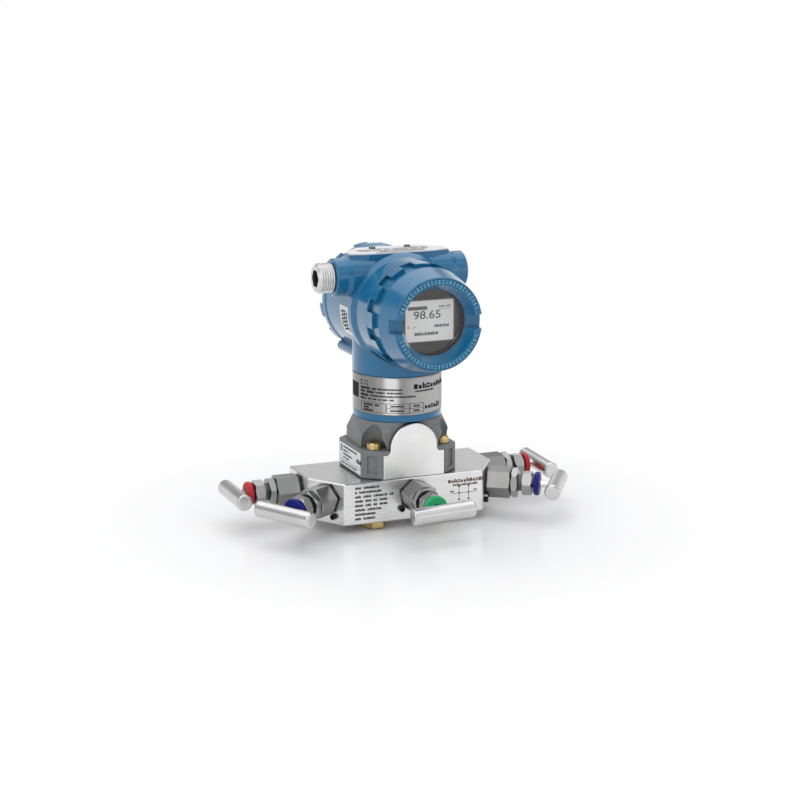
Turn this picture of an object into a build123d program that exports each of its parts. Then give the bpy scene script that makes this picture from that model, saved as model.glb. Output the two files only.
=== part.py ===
"""Differential pressure transmitter on a five-valve manifold.

Frame: millimetres, +Z up. The origin is the centre of the manifold block's underside,
on the axis of the round sensor module. -Y is the front, where the display window looks.
The part stands on the four bolt heads under the block.
"""

from build123d import *
from math import cos, radians
import os

os.makedirs("parts", exist_ok=True)

# Clearances
running_gap = 0.05      # radial, a shaft turning in its bore
seat_gap = 0.3          # between faces of bodies that move past each other
fitted_gap = 0.1        # between pieces bolted or pushed together in one body

# Manifold block
block_height = 33.1
block_front = -36.2
block_back = 34.4
block_front_half = 58.4
block_side_half = 78.2
block_bend = -6.9
block_chamfer = 0.8

# Process bolts, four, heads under the block, ends in the pockets of the base
bolt_x = 28.6
bolt_y = 22.4
bolt_r = 5.5
bolt_clearance = 0.3
bolt_head_flats = 16.0
bolt_head_height = 7.0
bolt_end = 5.5
bolt_dome = 1.6
bolt_slot = 1.3
bolt_head_edge = 0.5

# Process ports in the underside and the passages above them
port_x = 27.0
port_r = 10.0
port_depth = 17.0
passage_x = 14.0
passage_r = 2.2
gasket_r = 6.3
gasket_hole_r = 4.0
gasket_depth = 1.3

# Silver pressure block with the arched front
arch_front = 35.3
shoulder_half = 25.6
shoulder_height = 19.6
arch_r = 19.5
arch_rise = 3.8
shoulder_fillet = 3.2
arch_edge = 0.5
tube_wall = 1.8
tube_seat = 12.0

# Grey cast module base
base_gap = 0.3
base_side_half = 39.8
base_side_y = 24.0
base_inset = 3.5
ledge_thickness = 2.5
arch_roof = 0.6
base_slope = 0.478
base_corner = 1.5
ledge_edge = 0.8
base_edge = 0.6
pocket_length = 23.0
pocket_width = 16.5
pocket_shift = 1.0
pocket_height = 20.6
pocket_peak = 4.0
pocket_shape = 0.8
pocket_turn = 38.4
spigot_r = 30.0
panel_width = 8.0
panel_height = 14.0
panel_depth = 1.2

# Sensor module
module_r = 34.4
module_height = 29.5
collar_height = 5.6
collar_step = 0.4
neck_boss_r = 17.5
cable_bore_r = 6.0
cable_recess = 1.2
band_thickness = 0.55
band_margin = 0.5
diaphragm_r = 9.3
diaphragm_recess = 0.8
diaphragm_thickness = 0.3

# Housing casting, on an axis along Y
neck_height = 9.0
neck_r = 35.2
neck_roof = 3.8
thread_r = 37.0
thread_relief = 1.0
seal_step = 1.4
nose_wall = 2.6
barrel_wall = 4.0
front_flange_wall = 5.4
rear_flange_wall = 4.9
front_flange_width = 6.2
rear_flange_width = 5.1
flange_ramp = 2.0
nose_length = 6.1
barrel_front = -19.3
barrel_back = 50.6
bulkhead_front = -9.0
bulkhead_back = -4.0
seal_bore_depth = 3.1

# Top pad with its tag, and the conduit bosses
pad_half = 41.5
pad_front_half = 27.0
pad_back_half = 26.0
pad_front = -10.0
pad_wide_front = -6.0
pad_wide_back = 6.0
pad_back = 24.0
pad_drop = 0.4
pad_corner = 1.0
boss_end = 54.5
boss_r = 14.7
boss_flare = 1.2
boss_flare_length = 4.0
boss_edge = 1.0
boss_drop = 17.2
conduit_r = 10.5
conduit_thread = 20.0
conduit_inner_r = 7.0
conduit_inner_x = 18.0
tag_thickness = 0.9
tag_inset = 1.0
tag_screw_x = 14.7
tag_screw_y = 15.0
tag_screw_r = 1.5
tag_head_r = 2.6
tag_head_height = 1.3
tag_screw_length = 5.0

# Ground lug under the left side of the barrel
lug_angle = 37.3
lug_sink = 0.3
lug_r = 4.2
lug_start = 12.0
lug_end = 46.2
web_half = 3.0
ground_screw_r = 1.9
ground_screw_length = 9.0
ground_head_r = 2.8
ground_head_height = 2.6
driver_slot = 1.0

# Screw that locks the housing on its neck
lock_rise = 5.0
lock_r = 2.5
lock_socket = 2.5

# Front cover
cover_skirt = 20.2
grip_length = 11.6
grip_root = 2.9
grip_gap_width = 9.6
grip_count = 12
groove_length = 8.4
cone_step = 1.6
cone_length = 22.4
cover_edge = 0.6
sight_r = 25.1
sight_depth = 9.6
sight_flare = 4.5
rim_width = 5.9
rim_edge = 0.8
spigot_wall = 4.0
seal_groove = 1.8
seal_section = 1.3
slot_width = 10.8
slot_depth = 8.8
glass_rebate = 2.4
glass_thickness = 7.8
glass_edge = 0.4
ring_thickness = 1.9
ring_width = 2.9

# Rear cover
rear_skirt = 1.0
rear_flange_drop = 0.7
rear_grip_length = 5.2
rear_grip_gap_width = 11.6
rear_grip_root = 3.8
rear_dome = 7.9
rear_dome_slope = 4.5
rear_cover_wall = 3.5

# Electronics, display and terminals
electronics_clearance = 1.5
electronics_length = 35.0
display_gap = 1.4
screen_width = 39.0
screen_height = 31.0
screen_thickness = 1.2
screen_proud = 0.5
bezel_recess = 1.4
bezel_bar = 3.0
bezel_border = 2.0
terminal_clearance = 5.0
terminal_length = 36.0
terminal_spacing = 14.0
terminal_screw_r = 3.5
terminal_screw_height = 3.0

# Conduit plug on the left
plug_out = 13.0
plug_step = 0.5
plug_edge = 1.2
plug_engaged = 16.0
plug_socket_flats = 12.7
plug_socket_depth = 8.0

# Needle valves, with lengths along each valve's axis from the block's face
valve_z = 19.5
side_valve_y = 15.0
valve_bore_r = 8.0
shank_length = 16.0
valve_seat_depth = 22.0
valve_seat_r = 2.2
washer_width = 2.9
washer_thickness = 2.0
bonnet_flats = 22.2
bonnet_length = 18.0
neck_thread_r = 6.35
lock_nut_flats = 20.6
lock_nut_gap = 0.5
lock_nut_length = 5.3
lock_nut_turn = 14
neck_exposed = 3.2
neck_engaged = 4.0
packing_nut_flats = 17.6
packing_nut_length = 8.3
packing_nut_turn = -12
packing_width = 1.6
packing_length = 6.0
cap_r = 9.4
cap_gap = 1.2
cap_thickness = 4.5
cap_edge = 1.4
stem_r = 3.0
stem_inner = 8.5
stem_exposed = 2.0
tip_slope = 0.6
tip_point_r = 0.6
tip_neck_r = 1.5
tip_neck_length = 4.0
bar_r = 6.35
bar_length = 50.8
bar_edge = 1.8
corner_bevel = 1.1
bevel_face = 0.3
lock_screw_r = 1.5
lock_screw_depth = 6.0
lock_head_r = 2.3
lock_head_height = 2.6
lock_socket_flats = 2.5
lock_socket_depth = 1.4

# Heights that follow
shoulder_top = block_height + shoulder_height
arch_centre = shoulder_top + arch_rise
ledge_top = shoulder_top + base_gap + ledge_thickness
base_top = arch_centre + arch_r + base_gap + arch_roof
module_bottom = base_top + collar_height
spigot_top = module_bottom - fitted_gap
module_top = module_bottom + module_height
neck_boss_top = module_top + neck_height
axis_z = neck_boss_top + neck_roof + thread_r
tube_bottom = block_height + tube_seat
tube_r = passage_r + tube_wall
bolt_hole_r = bolt_r + bolt_clearance
base_front = arch_front - base_gap
collar_r = module_r + collar_step

# Radii and stations of the housing and covers that follow
seal_bore_r = thread_r + seal_step
chamber_r = thread_r - thread_relief
barrel_r = seal_bore_r + barrel_wall
front_nose_r = seal_bore_r + nose_wall
front_flange_r = seal_bore_r + front_flange_wall
rear_flange_r = seal_bore_r + rear_flange_wall
pad_top = axis_z + front_flange_r - pad_drop
boss_z = pad_top - boss_drop
spigot_length = bulkhead_front - barrel_front - seat_gap
cover_inner_r = thread_r - spigot_wall
seal_groove_r = thread_r - seal_groove
cover_r = front_nose_r + 0.5
grip_root_r = cover_r - grip_root
cone_r = cover_r - cone_step
rim_inner_r = sight_r + sight_flare
rim_r = rim_inner_r + rim_width
glass_pocket_r = sight_r + glass_rebate
ring_bore_r = glass_pocket_r - ring_width
flange_face = barrel_front - seat_gap
grip_start = flange_face - cover_skirt
grip_end = grip_start - grip_length
cone_start = grip_end - groove_length
rim_face = cone_start - cone_length
sight_seat = rim_face + sight_depth
ring_back = sight_seat + glass_thickness + ring_thickness + fitted_gap
electronics_r = cover_inner_r - electronics_clearance
electronics_front = bulkhead_front - electronics_length
display_r = electronics_r - 1.0
display_front = ring_back + display_gap + screen_proud
rear_flange_face = barrel_back + seat_gap
rear_cover_flange_r = rear_flange_r - rear_flange_drop
rear_cover_r = rear_flange_r - rear_grip_root
terminal_r = chamber_r - terminal_clearance
terminal_back = bulkhead_back + terminal_length
plug_face_x = boss_end + plug_out

# Stations along a valve that follow
washer_r = valve_bore_r + washer_width
bonnet_end = washer_thickness + bonnet_length
lock_nut_start = bonnet_end + lock_nut_gap
lock_nut_end = lock_nut_start + lock_nut_length
packing_nut_start = lock_nut_end + neck_exposed
packing_nut_end = packing_nut_start + packing_nut_length
neck_end = packing_nut_start + neck_engaged
packing_start = neck_end - packing_length
packing_r = stem_r + packing_width
cap_start = packing_nut_end + cap_gap
cap_end = cap_start + cap_thickness
bar_distance = cap_end + stem_exposed + bar_r
tip_r = stem_r - running_gap
tip_end = running_gap + (tip_r - valve_seat_r) / tip_slope - shank_length - fitted_gap
tip_point = tip_end - (tip_r - tip_point_r) / tip_slope
lock_screw_reach = bonnet_flats / 2 / cos(radians(30)) + lock_head_r + fitted_gap

bolt_places = [(x, y) for x in (-bolt_x, bolt_x) for y in (-bolt_y, bolt_y)]
pocket_places = [
    (side_x * (bolt_x + pocket_shift), side_y * (bolt_y + pocket_shift), -side_x * side_y * pocket_turn)
    for side_x in (-1, 1)
    for side_y in (-1, 1)
]
block_outline = [
    (-block_front_half, block_front),
    (block_front_half, block_front),
    (block_side_half, block_bend),
    (block_side_half, block_back),
    (-block_side_half, block_back),
    (-block_side_half, block_bend),
]


def upright(origin, outward):
    """Plane on a vertical face: x to the right seen from outside, y up, z outward."""
    normal = Vector(*outward).normalized()
    return Plane(origin=origin, x_dir=Vector(0, 0, 1).cross(normal), z_dir=normal)


def lengthwise(face):
    """Plane through a face's axis: x along the axis, y up."""
    return Plane(
        origin=face.origin,
        x_dir=face.z_dir,
        z_dir=face.z_dir.cross(Vector(0, 0, 1)),
    )


def turn_profile(face, points, mode=Mode.ADD):
    """Revolve (distance, radius) points about the face's axis into the part being built."""
    with BuildSketch(lengthwise(face)) as profile:
        with BuildLine():
            Polyline(*points, close=True)
        make_face()
    revolve(profile.sketch, axis=Axis(face.origin, face.z_dir), mode=mode)


def hexagon(face, start, end, flats, turn=0.0, mode=Mode.ADD):
    """Extrude a hexagon between two distances along the face's axis."""
    with BuildSketch(face.offset(start)) as profile:
        RegularPolygon(flats / 2, 6, major_radius=False, rotation=turn)
    extrude(profile.sketch, amount=end - start, mode=mode)


def bevel_corners(face, start, end, flats, both=False):
    """Round off a hexagon's corners at its outer end, or at both ends."""
    end_r = flats / 2 - bevel_face
    outside_r = flats / 2 / cos(radians(30)) + bevel_face
    points = [(start, 0), (end, 0), (end, end_r), (end - corner_bevel, outside_r)]
    if both:
        points += [(start + corner_bevel, outside_r), (start, end_r)]
    else:
        points += [(start, outside_r)]
    turn_profile(face, points, Mode.INTERSECT)


def bore(face, start, end, radius):
    """Cut a round hole between two distances along the face's axis."""
    with BuildSketch(face.offset(start)) as hole:
        Circle(radius)
    extrude(hole.sketch, amount=end - start, mode=Mode.SUBTRACT)


def save(part, name):
    """Label a finished piece and write its file."""
    part.label = name
    export_step(part, f"parts/{name}.step")


# Valve places
angled_run = Vector(block_side_half - block_front_half, block_bend - block_front, 0)
angled_normal = Vector(angled_run.Y, -angled_run.X, 0).normalized()
angled_x = (block_front_half + block_side_half) / 2
angled_y = (block_front + block_bend) / 2
valve_faces = {
    "front": upright((0, block_front, valve_z), (0, -1, 0)),
    "front_left": upright((-angled_x, angled_y, valve_z), (-angled_normal.X, angled_normal.Y, 0)),
    "front_right": upright((angled_x, angled_y, valve_z), (angled_normal.X, angled_normal.Y, 0)),
    "side_left": upright((-block_side_half, side_valve_y, valve_z), (-1, 0, 0)),
    "side_right": upright((block_side_half, side_valve_y, valve_z), (1, 0, 0)),
}
valve_lift = {"front": 4.4, "front_left": 1.4, "front_right": 4.4, "side_left": 0.4, "side_right": 2.4}
bar_tilt = {"front": 2, "front_left": -2, "front_right": 0, "side_left": 0, "side_right": 2}
hex_turn = {"front": -18, "front_left": 10, "front_right": 8, "side_left": 0, "side_right": 4}
lock_angle = {"front": 222, "front_left": 301, "front_right": 239, "side_left": 301, "side_right": 239}


def lock_place(name):
    """Where the small lock screw beside a valve meets the block."""
    turn = radians(lock_angle[name])
    face = valve_faces[name]
    along = face.x_dir * (lock_screw_reach * cos(turn))
    up = Vector(0, 0, 1) * (lock_screw_reach * cos(turn - radians(90)))
    return Plane(origin=face.origin + along + up, x_dir=face.x_dir, z_dir=face.z_dir)


# Manifold block
with BuildPart() as manifold_block:
    with BuildSketch():
        with BuildLine():
            Polyline(*block_outline, close=True)
        make_face()
    extrude(amount=block_height)
    chamfer(manifold_block.edges(), block_chamfer)
    with BuildSketch():
        with Locations(*bolt_places):
            Circle(bolt_hole_r)
    extrude(amount=block_height, mode=Mode.SUBTRACT)
    with BuildSketch():
        with Locations((-port_x, 0), (port_x, 0)):
            Circle(port_r)
    extrude(amount=port_depth, mode=Mode.SUBTRACT)
    with BuildSketch(Plane.XY.offset(block_height)):
        with Locations((-passage_x, 0), (passage_x, 0)):
            Circle(gasket_r + fitted_gap)
    extrude(amount=-gasket_depth, mode=Mode.SUBTRACT)
    for side in (-1, 1):
        top = Vector(side * passage_x, 0, block_height)
        bottom = Vector(side * (port_x - port_r / 2), 0, port_depth - passage_r)
        drill = Plane(origin=bottom, z_dir=top - bottom)
        bore(drill, 0, (top - bottom).length, passage_r)
    for name, face in valve_faces.items():
        bore(face, -shank_length - fitted_gap, 0, valve_bore_r)
        bore(face, -valve_seat_depth, -shank_length, valve_seat_r)
        bore(lock_place(name), -lock_screw_depth, 0, lock_screw_r + running_gap)
save(manifold_block.part, "manifold_block")

# Process bolts, one group of four
with BuildPart() as process_bolts:
    for x, y in bolt_places:
        head = Plane(origin=(x, y, 0), x_dir=(1, 0, 0), z_dir=(0, 0, -1))
        with BuildSketch(head):
            RegularPolygon(bolt_head_flats / 2, 6, major_radius=False)
        extrude(amount=bolt_head_height)
        with BuildSketch(Plane.XY):
            with Locations((x, y)):
                Circle(bolt_r)
        extrude(amount=ledge_top + bolt_end)
    fillet(process_bolts.edges().group_by(Axis.Z)[-1], bolt_dome)
    chamfer(process_bolts.edges().group_by(Axis.Z)[0], bolt_head_edge)
    with BuildSketch(Plane.XY.offset(ledge_top + bolt_end)):
        with Locations(*bolt_places):
            Rectangle(2 * bolt_r, bolt_slot, rotation=20)
    extrude(amount=-bolt_slot, mode=Mode.SUBTRACT)
save(process_bolts.part, "process_bolts")

# Lock screws beside the valves, one group of five
with BuildPart() as lock_screws:
    for name in valve_faces:
        place = lock_place(name)
        with BuildSketch(place.offset(-lock_screw_depth)):
            Circle(lock_screw_r)
        extrude(amount=lock_screw_depth)
        with BuildSketch(place):
            Circle(lock_head_r)
        extrude(amount=lock_head_height)
        hexagon(place, lock_head_height - lock_socket_depth, lock_head_height, lock_socket_flats, 0, Mode.SUBTRACT)
save(lock_screws.part, "lock_screws")

# Seals between the manifold and the pressure block
with BuildPart() as block_gaskets:
    with BuildSketch(Plane.XY.offset(block_height - gasket_depth)):
        with Locations((-passage_x, 0), (passage_x, 0)):
            Circle(gasket_r)
            Circle(gasket_hole_r, mode=Mode.SUBTRACT)
    extrude(amount=gasket_depth)
save(block_gaskets.part, "block_gaskets")


def arch_profile(grow):
    """Outline of the pressure block seen from the front, grown all round by a gap."""
    half = shoulder_half + grow
    radius = arch_r + grow
    with BuildLine() as outline:
        Polyline(
            (-radius, arch_centre),
            (-radius, shoulder_top + grow),
            (-half, shoulder_top + grow),
            (-half, block_height),
            (half, block_height),
            (half, shoulder_top + grow),
            (radius, shoulder_top + grow),
            (radius, arch_centre),
        )
        ThreePointArc((radius, arch_centre), (0, arch_centre + radius), (-radius, arch_centre))
    face = make_face(outline.edges())
    corners = [v for v in face.vertices() if abs(abs(v.X) - radius) < 0.01 and v.Y < arch_centre - 0.01]
    fillet(corners, shoulder_fillet - grow)


# Silver pressure block, arched in front, with its two passages
with BuildPart() as pressure_block:
    with BuildSketch(Plane.XZ.offset(arch_front)):
        arch_profile(0)
    extrude(amount=-2 * arch_front)
    chamfer(pressure_block.edges().group_by(Axis.Y)[0], arch_edge)
    with BuildSketch(Plane.XY.offset(block_height)):
        with Locations(*bolt_places):
            Circle(bolt_hole_r)
    extrude(amount=shoulder_top, mode=Mode.SUBTRACT)
    with BuildSketch(Plane.XY.offset(block_height)):
        with Locations((-passage_x, 0), (passage_x, 0)):
            Circle(passage_r)
    extrude(amount=shoulder_top, mode=Mode.SUBTRACT)
    with BuildSketch(Plane.XY.offset(tube_bottom)):
        with Locations((-passage_x, 0), (passage_x, 0)):
            Circle(tube_r + running_gap)
    extrude(amount=shoulder_top, mode=Mode.SUBTRACT)
save(pressure_block.part, "pressure_block")


def base_outline(inset):
    """Eight-sided plan of the cast base, moved in by an inset."""
    corner_x = shoulder_half + base_gap
    half = [
        (corner_x, -base_front),
        (base_side_half, -base_side_y),
        (base_side_half, base_side_y),
        (corner_x, base_front),
    ]
    with BuildLine() as outline:
        Polyline(*half, *[(-x, y) for x, y in reversed(half)], close=True)
    make_face(outline.edges())
    if inset:
        offset(amount=-inset, kind=Kind.INTERSECTION, mode=Mode.REPLACE)


# Grey cast base of the sensor module
base_bottom = block_height + fitted_gap
base_top_r = collar_r - 2 * fitted_gap
cone_foot_r = base_top_r + base_slope * (base_top - ledge_top)
panel_middle = (base_bottom + ledge_top) / 2
leg_run = Vector(base_side_half - shoulder_half - base_gap, base_front - base_side_y, 0)
leg_centre = Vector(
    (base_side_half + shoulder_half + base_gap) / 2, -(base_front + base_side_y) / 2, panel_middle
)
with BuildPart() as module_base:
    with BuildSketch(Plane.XY.offset(ledge_top)):
        base_outline(base_inset)
    extrude(amount=base_top - ledge_top)
    with BuildSketch(Plane.XZ):
        with BuildLine():
            Polyline((0, ledge_top), (cone_foot_r, ledge_top), (base_top_r, base_top), (0, base_top), close=True)
        make_face()
    revolve(axis=Axis.Z, mode=Mode.INTERSECT)
    with BuildSketch(Plane.XY.offset(base_bottom)) as foot:
        base_outline(0)
        fillet(foot.vertices(), base_corner)
    extrude(amount=ledge_top - ledge_edge - base_bottom)
    chamfer(module_base.edges().group_by(Axis.Z)[0], base_edge)
    with BuildSketch(Plane.XY.offset(ledge_top - ledge_edge)) as ledge:
        base_outline(0)
        fillet(ledge.vertices(), base_corner)
    extrude(amount=ledge_edge, taper=45)
    with BuildSketch(Plane.XY.offset(base_top)):
        Circle(spigot_r)
    extrude(amount=spigot_top - base_top)
    for x, y, turn in pocket_places:
        for height, share in ((0, 1), (pocket_height / 2, pocket_shape)):
            with BuildSketch(Plane.XY.offset(ledge_top + height)):
                with Locations(Location((x, y), turn)):
                    Ellipse(share * pocket_length / 2, share * pocket_width / 2)
        with BuildSketch(Plane.XY.offset(ledge_top + pocket_height)):
            with Locations(Location((x, y), turn)):
                Ellipse(pocket_peak / 2, pocket_peak / 2 * pocket_width / pocket_length)
        loft(mode=Mode.SUBTRACT)
    with BuildSketch(Plane.XZ.offset(base_front + 1)):
        arch_profile(base_gap)
    extrude(amount=-2 * (base_front + 1), mode=Mode.SUBTRACT)
    with BuildSketch(Plane.XY.offset(base_bottom)):
        with Locations(*bolt_places):
            Circle(bolt_r + running_gap)
    extrude(amount=ledge_top - base_bottom, mode=Mode.SUBTRACT)
    with BuildSketch(Plane.XY.offset(tube_bottom)):
        with Locations((-passage_x, 0), (passage_x, 0)):
            Circle(tube_r + running_gap)
    extrude(amount=spigot_top - tube_bottom, mode=Mode.SUBTRACT)
    for side_x in (-1, 1):
        for side_y in (-1, 1):
            spot = (side_x * leg_centre.X, -side_y * leg_centre.Y, leg_centre.Z)
            facing = (side_x * leg_run.Y, side_y * leg_run.X, 0)
            with BuildSketch(upright(spot, facing)):
                Rectangle(panel_width, panel_height)
            extrude(amount=-panel_depth, mode=Mode.SUBTRACT)
save(module_base.part, "module_base")

# Tubes that carry the two pressures up through the base
with BuildPart() as pressure_tubes:
    with BuildSketch(Plane.XY.offset(tube_bottom)):
        with Locations((-passage_x, 0), (passage_x, 0)):
            Circle(tube_r)
            Circle(passage_r, mode=Mode.SUBTRACT)
    extrude(amount=spigot_top - tube_bottom)
save(pressure_tubes.part, "pressure_tubes")

# Blue collar round the base's spigot
with BuildPart() as module_collar:
    with BuildSketch(Plane.XY.offset(base_top)):
        Circle(collar_r)
        Circle(spigot_r + fitted_gap, mode=Mode.SUBTRACT)
    extrude(amount=collar_height)
    chamfer(module_collar.edges().group_by(Axis.Z)[0].sort_by(SortBy.LENGTH)[-1], 0.6)
save(module_collar.part, "module_collar")

# Sensor module: the round steel can and its threaded neck
with BuildPart() as sensor_module:
    with BuildSketch(Plane.XY.offset(module_bottom)):
        Circle(module_r)
    extrude(amount=module_top - module_bottom)
    with BuildSketch(Plane.XY.offset(module_top)):
        Circle(neck_boss_r)
    extrude(amount=neck_boss_top - module_top)
    chamfer(sensor_module.edges().group_by(Axis.Z)[-1], 1.0)
    with BuildSketch(Plane.XY.offset(neck_boss_top)):
        Circle(cable_bore_r)
    extrude(amount=2 * (module_top - neck_boss_top), mode=Mode.SUBTRACT)
    with BuildSketch(Plane.XY.offset(module_bottom)):
        with Locations((-passage_x, 0), (passage_x, 0)):
            Circle(diaphragm_r + fitted_gap)
    extrude(amount=diaphragm_recess, mode=Mode.SUBTRACT)
save(sensor_module.part, "sensor_module")

# Isolating diaphragms in the module's underside
with BuildPart() as isolating_diaphragms:
    with BuildSketch(Plane.XY.offset(module_bottom + diaphragm_recess)):
        with Locations((-passage_x, 0), (passage_x, 0)):
            Circle(diaphragm_r)
    extrude(amount=-diaphragm_thickness)
save(isolating_diaphragms.part, "isolating_diaphragms")

# Steel nameplate band round the module
with BuildPart() as nameplate_band:
    with BuildSketch(Plane.XY.offset(module_bottom + band_margin)):
        Circle(module_r + running_gap + band_thickness)
        Circle(module_r + running_gap, mode=Mode.SUBTRACT)
    extrude(amount=module_top - module_bottom - 2 * band_margin)
save(nameplate_band.part, "nameplate_band")


def pad_outline(inset):
    """Eight-sided plan of the pad on top of the housing, moved in by an inset."""
    half = [
        (pad_front_half, pad_front),
        (pad_half, pad_wide_front),
        (pad_half, pad_wide_back),
        (pad_back_half, pad_back),
    ]
    with BuildLine() as outline:
        Polyline(*half, *[(-x, y) for x, y in reversed(half)], close=True)
    face = make_face(outline.edges())
    if inset:
        face = offset(amount=-inset, kind=Kind.INTERSECTION, mode=Mode.REPLACE)
    fillet(face.vertices(), pad_corner)


# Housing casting
housing_axis = Axis((0, 0, axis_z), (0, 1, 0))
housing_line = Plane(origin=(0, 0, axis_z), x_dir=(0, 1, 0), z_dir=(1, 0, 0))
front_view = Plane(origin=(0, 0, axis_z), x_dir=(1, 0, 0), z_dir=(0, -1, 0))
boss_line = Plane(origin=(0, 0, boss_z), x_dir=(1, 0, 0), z_dir=(0, -1, 0))
boss_axis = Axis((0, 0, boss_z), (1, 0, 0))
neck_bottom = module_top + seat_gap
neck_bore_top = neck_boss_top + seat_gap
cover_gap_r = cover_r + 2 * seat_gap
lock_z = neck_bottom + lock_rise
rear_thread_start = barrel_back - spigot_length - 2 * thread_relief
lug_reach = barrel_r - lug_sink + lug_r
lug_x = -lug_reach * cos(radians(90 - lug_angle))
lug_z = axis_z - lug_reach * cos(radians(lug_angle))
with BuildPart() as housing_body:
    with BuildSketch(housing_line):
        with BuildLine():
            Polyline(
                (barrel_front, 0),
                (barrel_front, front_nose_r),
                (barrel_front + nose_length, front_flange_r),
                (barrel_front + nose_length + front_flange_width, front_flange_r),
                (barrel_front + nose_length + front_flange_width + flange_ramp, barrel_r),
                (barrel_back - rear_flange_width - flange_ramp, barrel_r),
                (barrel_back - rear_flange_width, rear_flange_r),
                (barrel_back, rear_flange_r),
                (barrel_back, 0),
                close=True,
            )
        make_face()
    revolve(axis=housing_axis)
    with BuildSketch(Plane.XY.offset(neck_bottom)):
        Circle(neck_r)
    extrude(amount=axis_z - neck_bottom)
    with BuildSketch(front_view.offset(-barrel_front)):
        Circle(cover_gap_r)
    extrude(amount=neck_r, mode=Mode.SUBTRACT)
    chamfer(housing_body.edges().group_by(Axis.Z)[0], 0.8)
    with BuildSketch(Plane.XY.offset(axis_z)):
        pad_outline(0)
    extrude(amount=pad_top - axis_z)
    with BuildSketch(Plane.XY.offset(pad_top)):
        pad_outline(0)
    extrude(amount=front_flange_r, mode=Mode.SUBTRACT)
    with BuildSketch(boss_line):
        with BuildLine():
            Polyline(
                (-boss_end, 0),
                (-boss_end, boss_r - boss_edge),
                (boss_edge - boss_end, boss_r),
                (-pad_half - boss_flare_length, boss_r),
                (-pad_half, boss_r + boss_flare),
                (pad_half, boss_r + boss_flare),
                (pad_half + boss_flare_length, boss_r),
                (boss_end - boss_edge, boss_r),
                (boss_end, boss_r - boss_edge),
                (boss_end, 0),
                close=True,
            )
        make_face()
    revolve(axis=boss_axis)
    with BuildSketch(Plane(origin=(lug_x, lug_start, lug_z), x_dir=(1, 0, 0), z_dir=(0, 1, 0))):
        Circle(lug_r)
    extrude(amount=lug_end - lug_start)
    web_plane = Plane(
        origin=(lug_x, lug_start, lug_z),
        x_dir=Vector(-lug_x, 0, axis_z - lug_z),
        z_dir=(0, 1, 0),
    )
    web_length = lug_reach - (chamber_r + barrel_r) / 2
    with BuildSketch(web_plane):
        with Locations((web_length / 2, 0)):
            Rectangle(web_length, 2 * web_half)
    extrude(amount=lug_end - lug_start)
    with BuildSketch(housing_line):
        with BuildLine():
            Polyline(
                (barrel_front, 0),
                (barrel_front, seal_bore_r),
                (barrel_front + seal_bore_depth, seal_bore_r),
                (barrel_front + seal_bore_depth, thread_r + running_gap),
                (bulkhead_front, thread_r + running_gap),
                (bulkhead_front, 0),
                close=True,
            )
        make_face()
    revolve(axis=housing_axis, mode=Mode.SUBTRACT)
    with BuildSketch(housing_line):
        with BuildLine():
            Polyline(
                (bulkhead_back, 0),
                (bulkhead_back, chamber_r),
                (rear_thread_start, chamber_r),
                (rear_thread_start, thread_r + running_gap),
                (barrel_back - seal_bore_depth, thread_r + running_gap),
                (barrel_back - seal_bore_depth, seal_bore_r),
                (barrel_back, seal_bore_r),
                (barrel_back, 0),
                close=True,
            )
        make_face()
    revolve(axis=housing_axis, mode=Mode.SUBTRACT)
    for side in (-1, 1):
        mouth = Plane(origin=(side * boss_end, 0, boss_z), z_dir=(side, 0, 0))
        bore(mouth, -conduit_thread, 0, conduit_r)
        bore(mouth, conduit_inner_x - boss_end, -conduit_thread, conduit_inner_r)
    with BuildSketch(Plane.XY.offset(neck_bottom)):
        Circle(neck_boss_r + running_gap)
    extrude(amount=neck_bore_top - neck_bottom, mode=Mode.SUBTRACT)
    with BuildSketch(Plane.XY.offset(neck_bore_top)):
        Circle(neck_boss_r - cable_recess)
    extrude(amount=cable_recess, mode=Mode.SUBTRACT)
    with BuildSketch(Plane.XY.offset(neck_bore_top)):
        with Locations((0, (barrel_front + bulkhead_front) / 2)):
            Circle(cable_bore_r / 3)
    extrude(amount=2 * neck_roof, mode=Mode.SUBTRACT)
    back_of_neck = upright((0, neck_r, lock_z), (0, 1, 0))
    bore(back_of_neck, neck_boss_r - neck_r, 0, lock_r + running_gap)
    lug_face = upright((lug_x, lug_end, lug_z), (0, 1, 0))
    bore(lug_face, -ground_screw_length - seat_gap, 0, ground_screw_r + running_gap)
    with BuildSketch(Plane.XY.offset(pad_top)):
        with Locations((-tag_screw_x, tag_screw_y), (tag_screw_x, tag_screw_y)):
            Circle(tag_screw_r + running_gap)
    extrude(amount=-tag_screw_length - seat_gap, mode=Mode.SUBTRACT)
save(housing_body.part, "housing_body")

# Tag on the top pad and its two screws
with BuildPart() as tag_plate:
    with BuildSketch(Plane.XY.offset(pad_top)):
        pad_outline(tag_inset)
        with Locations((-tag_screw_x, tag_screw_y), (tag_screw_x, tag_screw_y)):
            Circle(tag_screw_r + 2 * fitted_gap, mode=Mode.SUBTRACT)
    extrude(amount=tag_thickness)
save(tag_plate.part, "tag_plate")

with BuildPart() as tag_screws:
    with BuildSketch(Plane.XY.offset(pad_top + tag_thickness)):
        with Locations((-tag_screw_x, tag_screw_y), (tag_screw_x, tag_screw_y)):
            Circle(tag_head_r)
    extrude(amount=tag_head_height)
    fillet(tag_screws.edges().group_by(Axis.Z)[-1], tag_head_height / 2)
    with BuildSketch(Plane.XY.offset(pad_top + tag_thickness)):
        with Locations((-tag_screw_x, tag_screw_y), (tag_screw_x, tag_screw_y)):
            Circle(tag_screw_r)
    extrude(amount=-tag_thickness - tag_screw_length)
save(tag_screws.part, "tag_screws")

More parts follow.
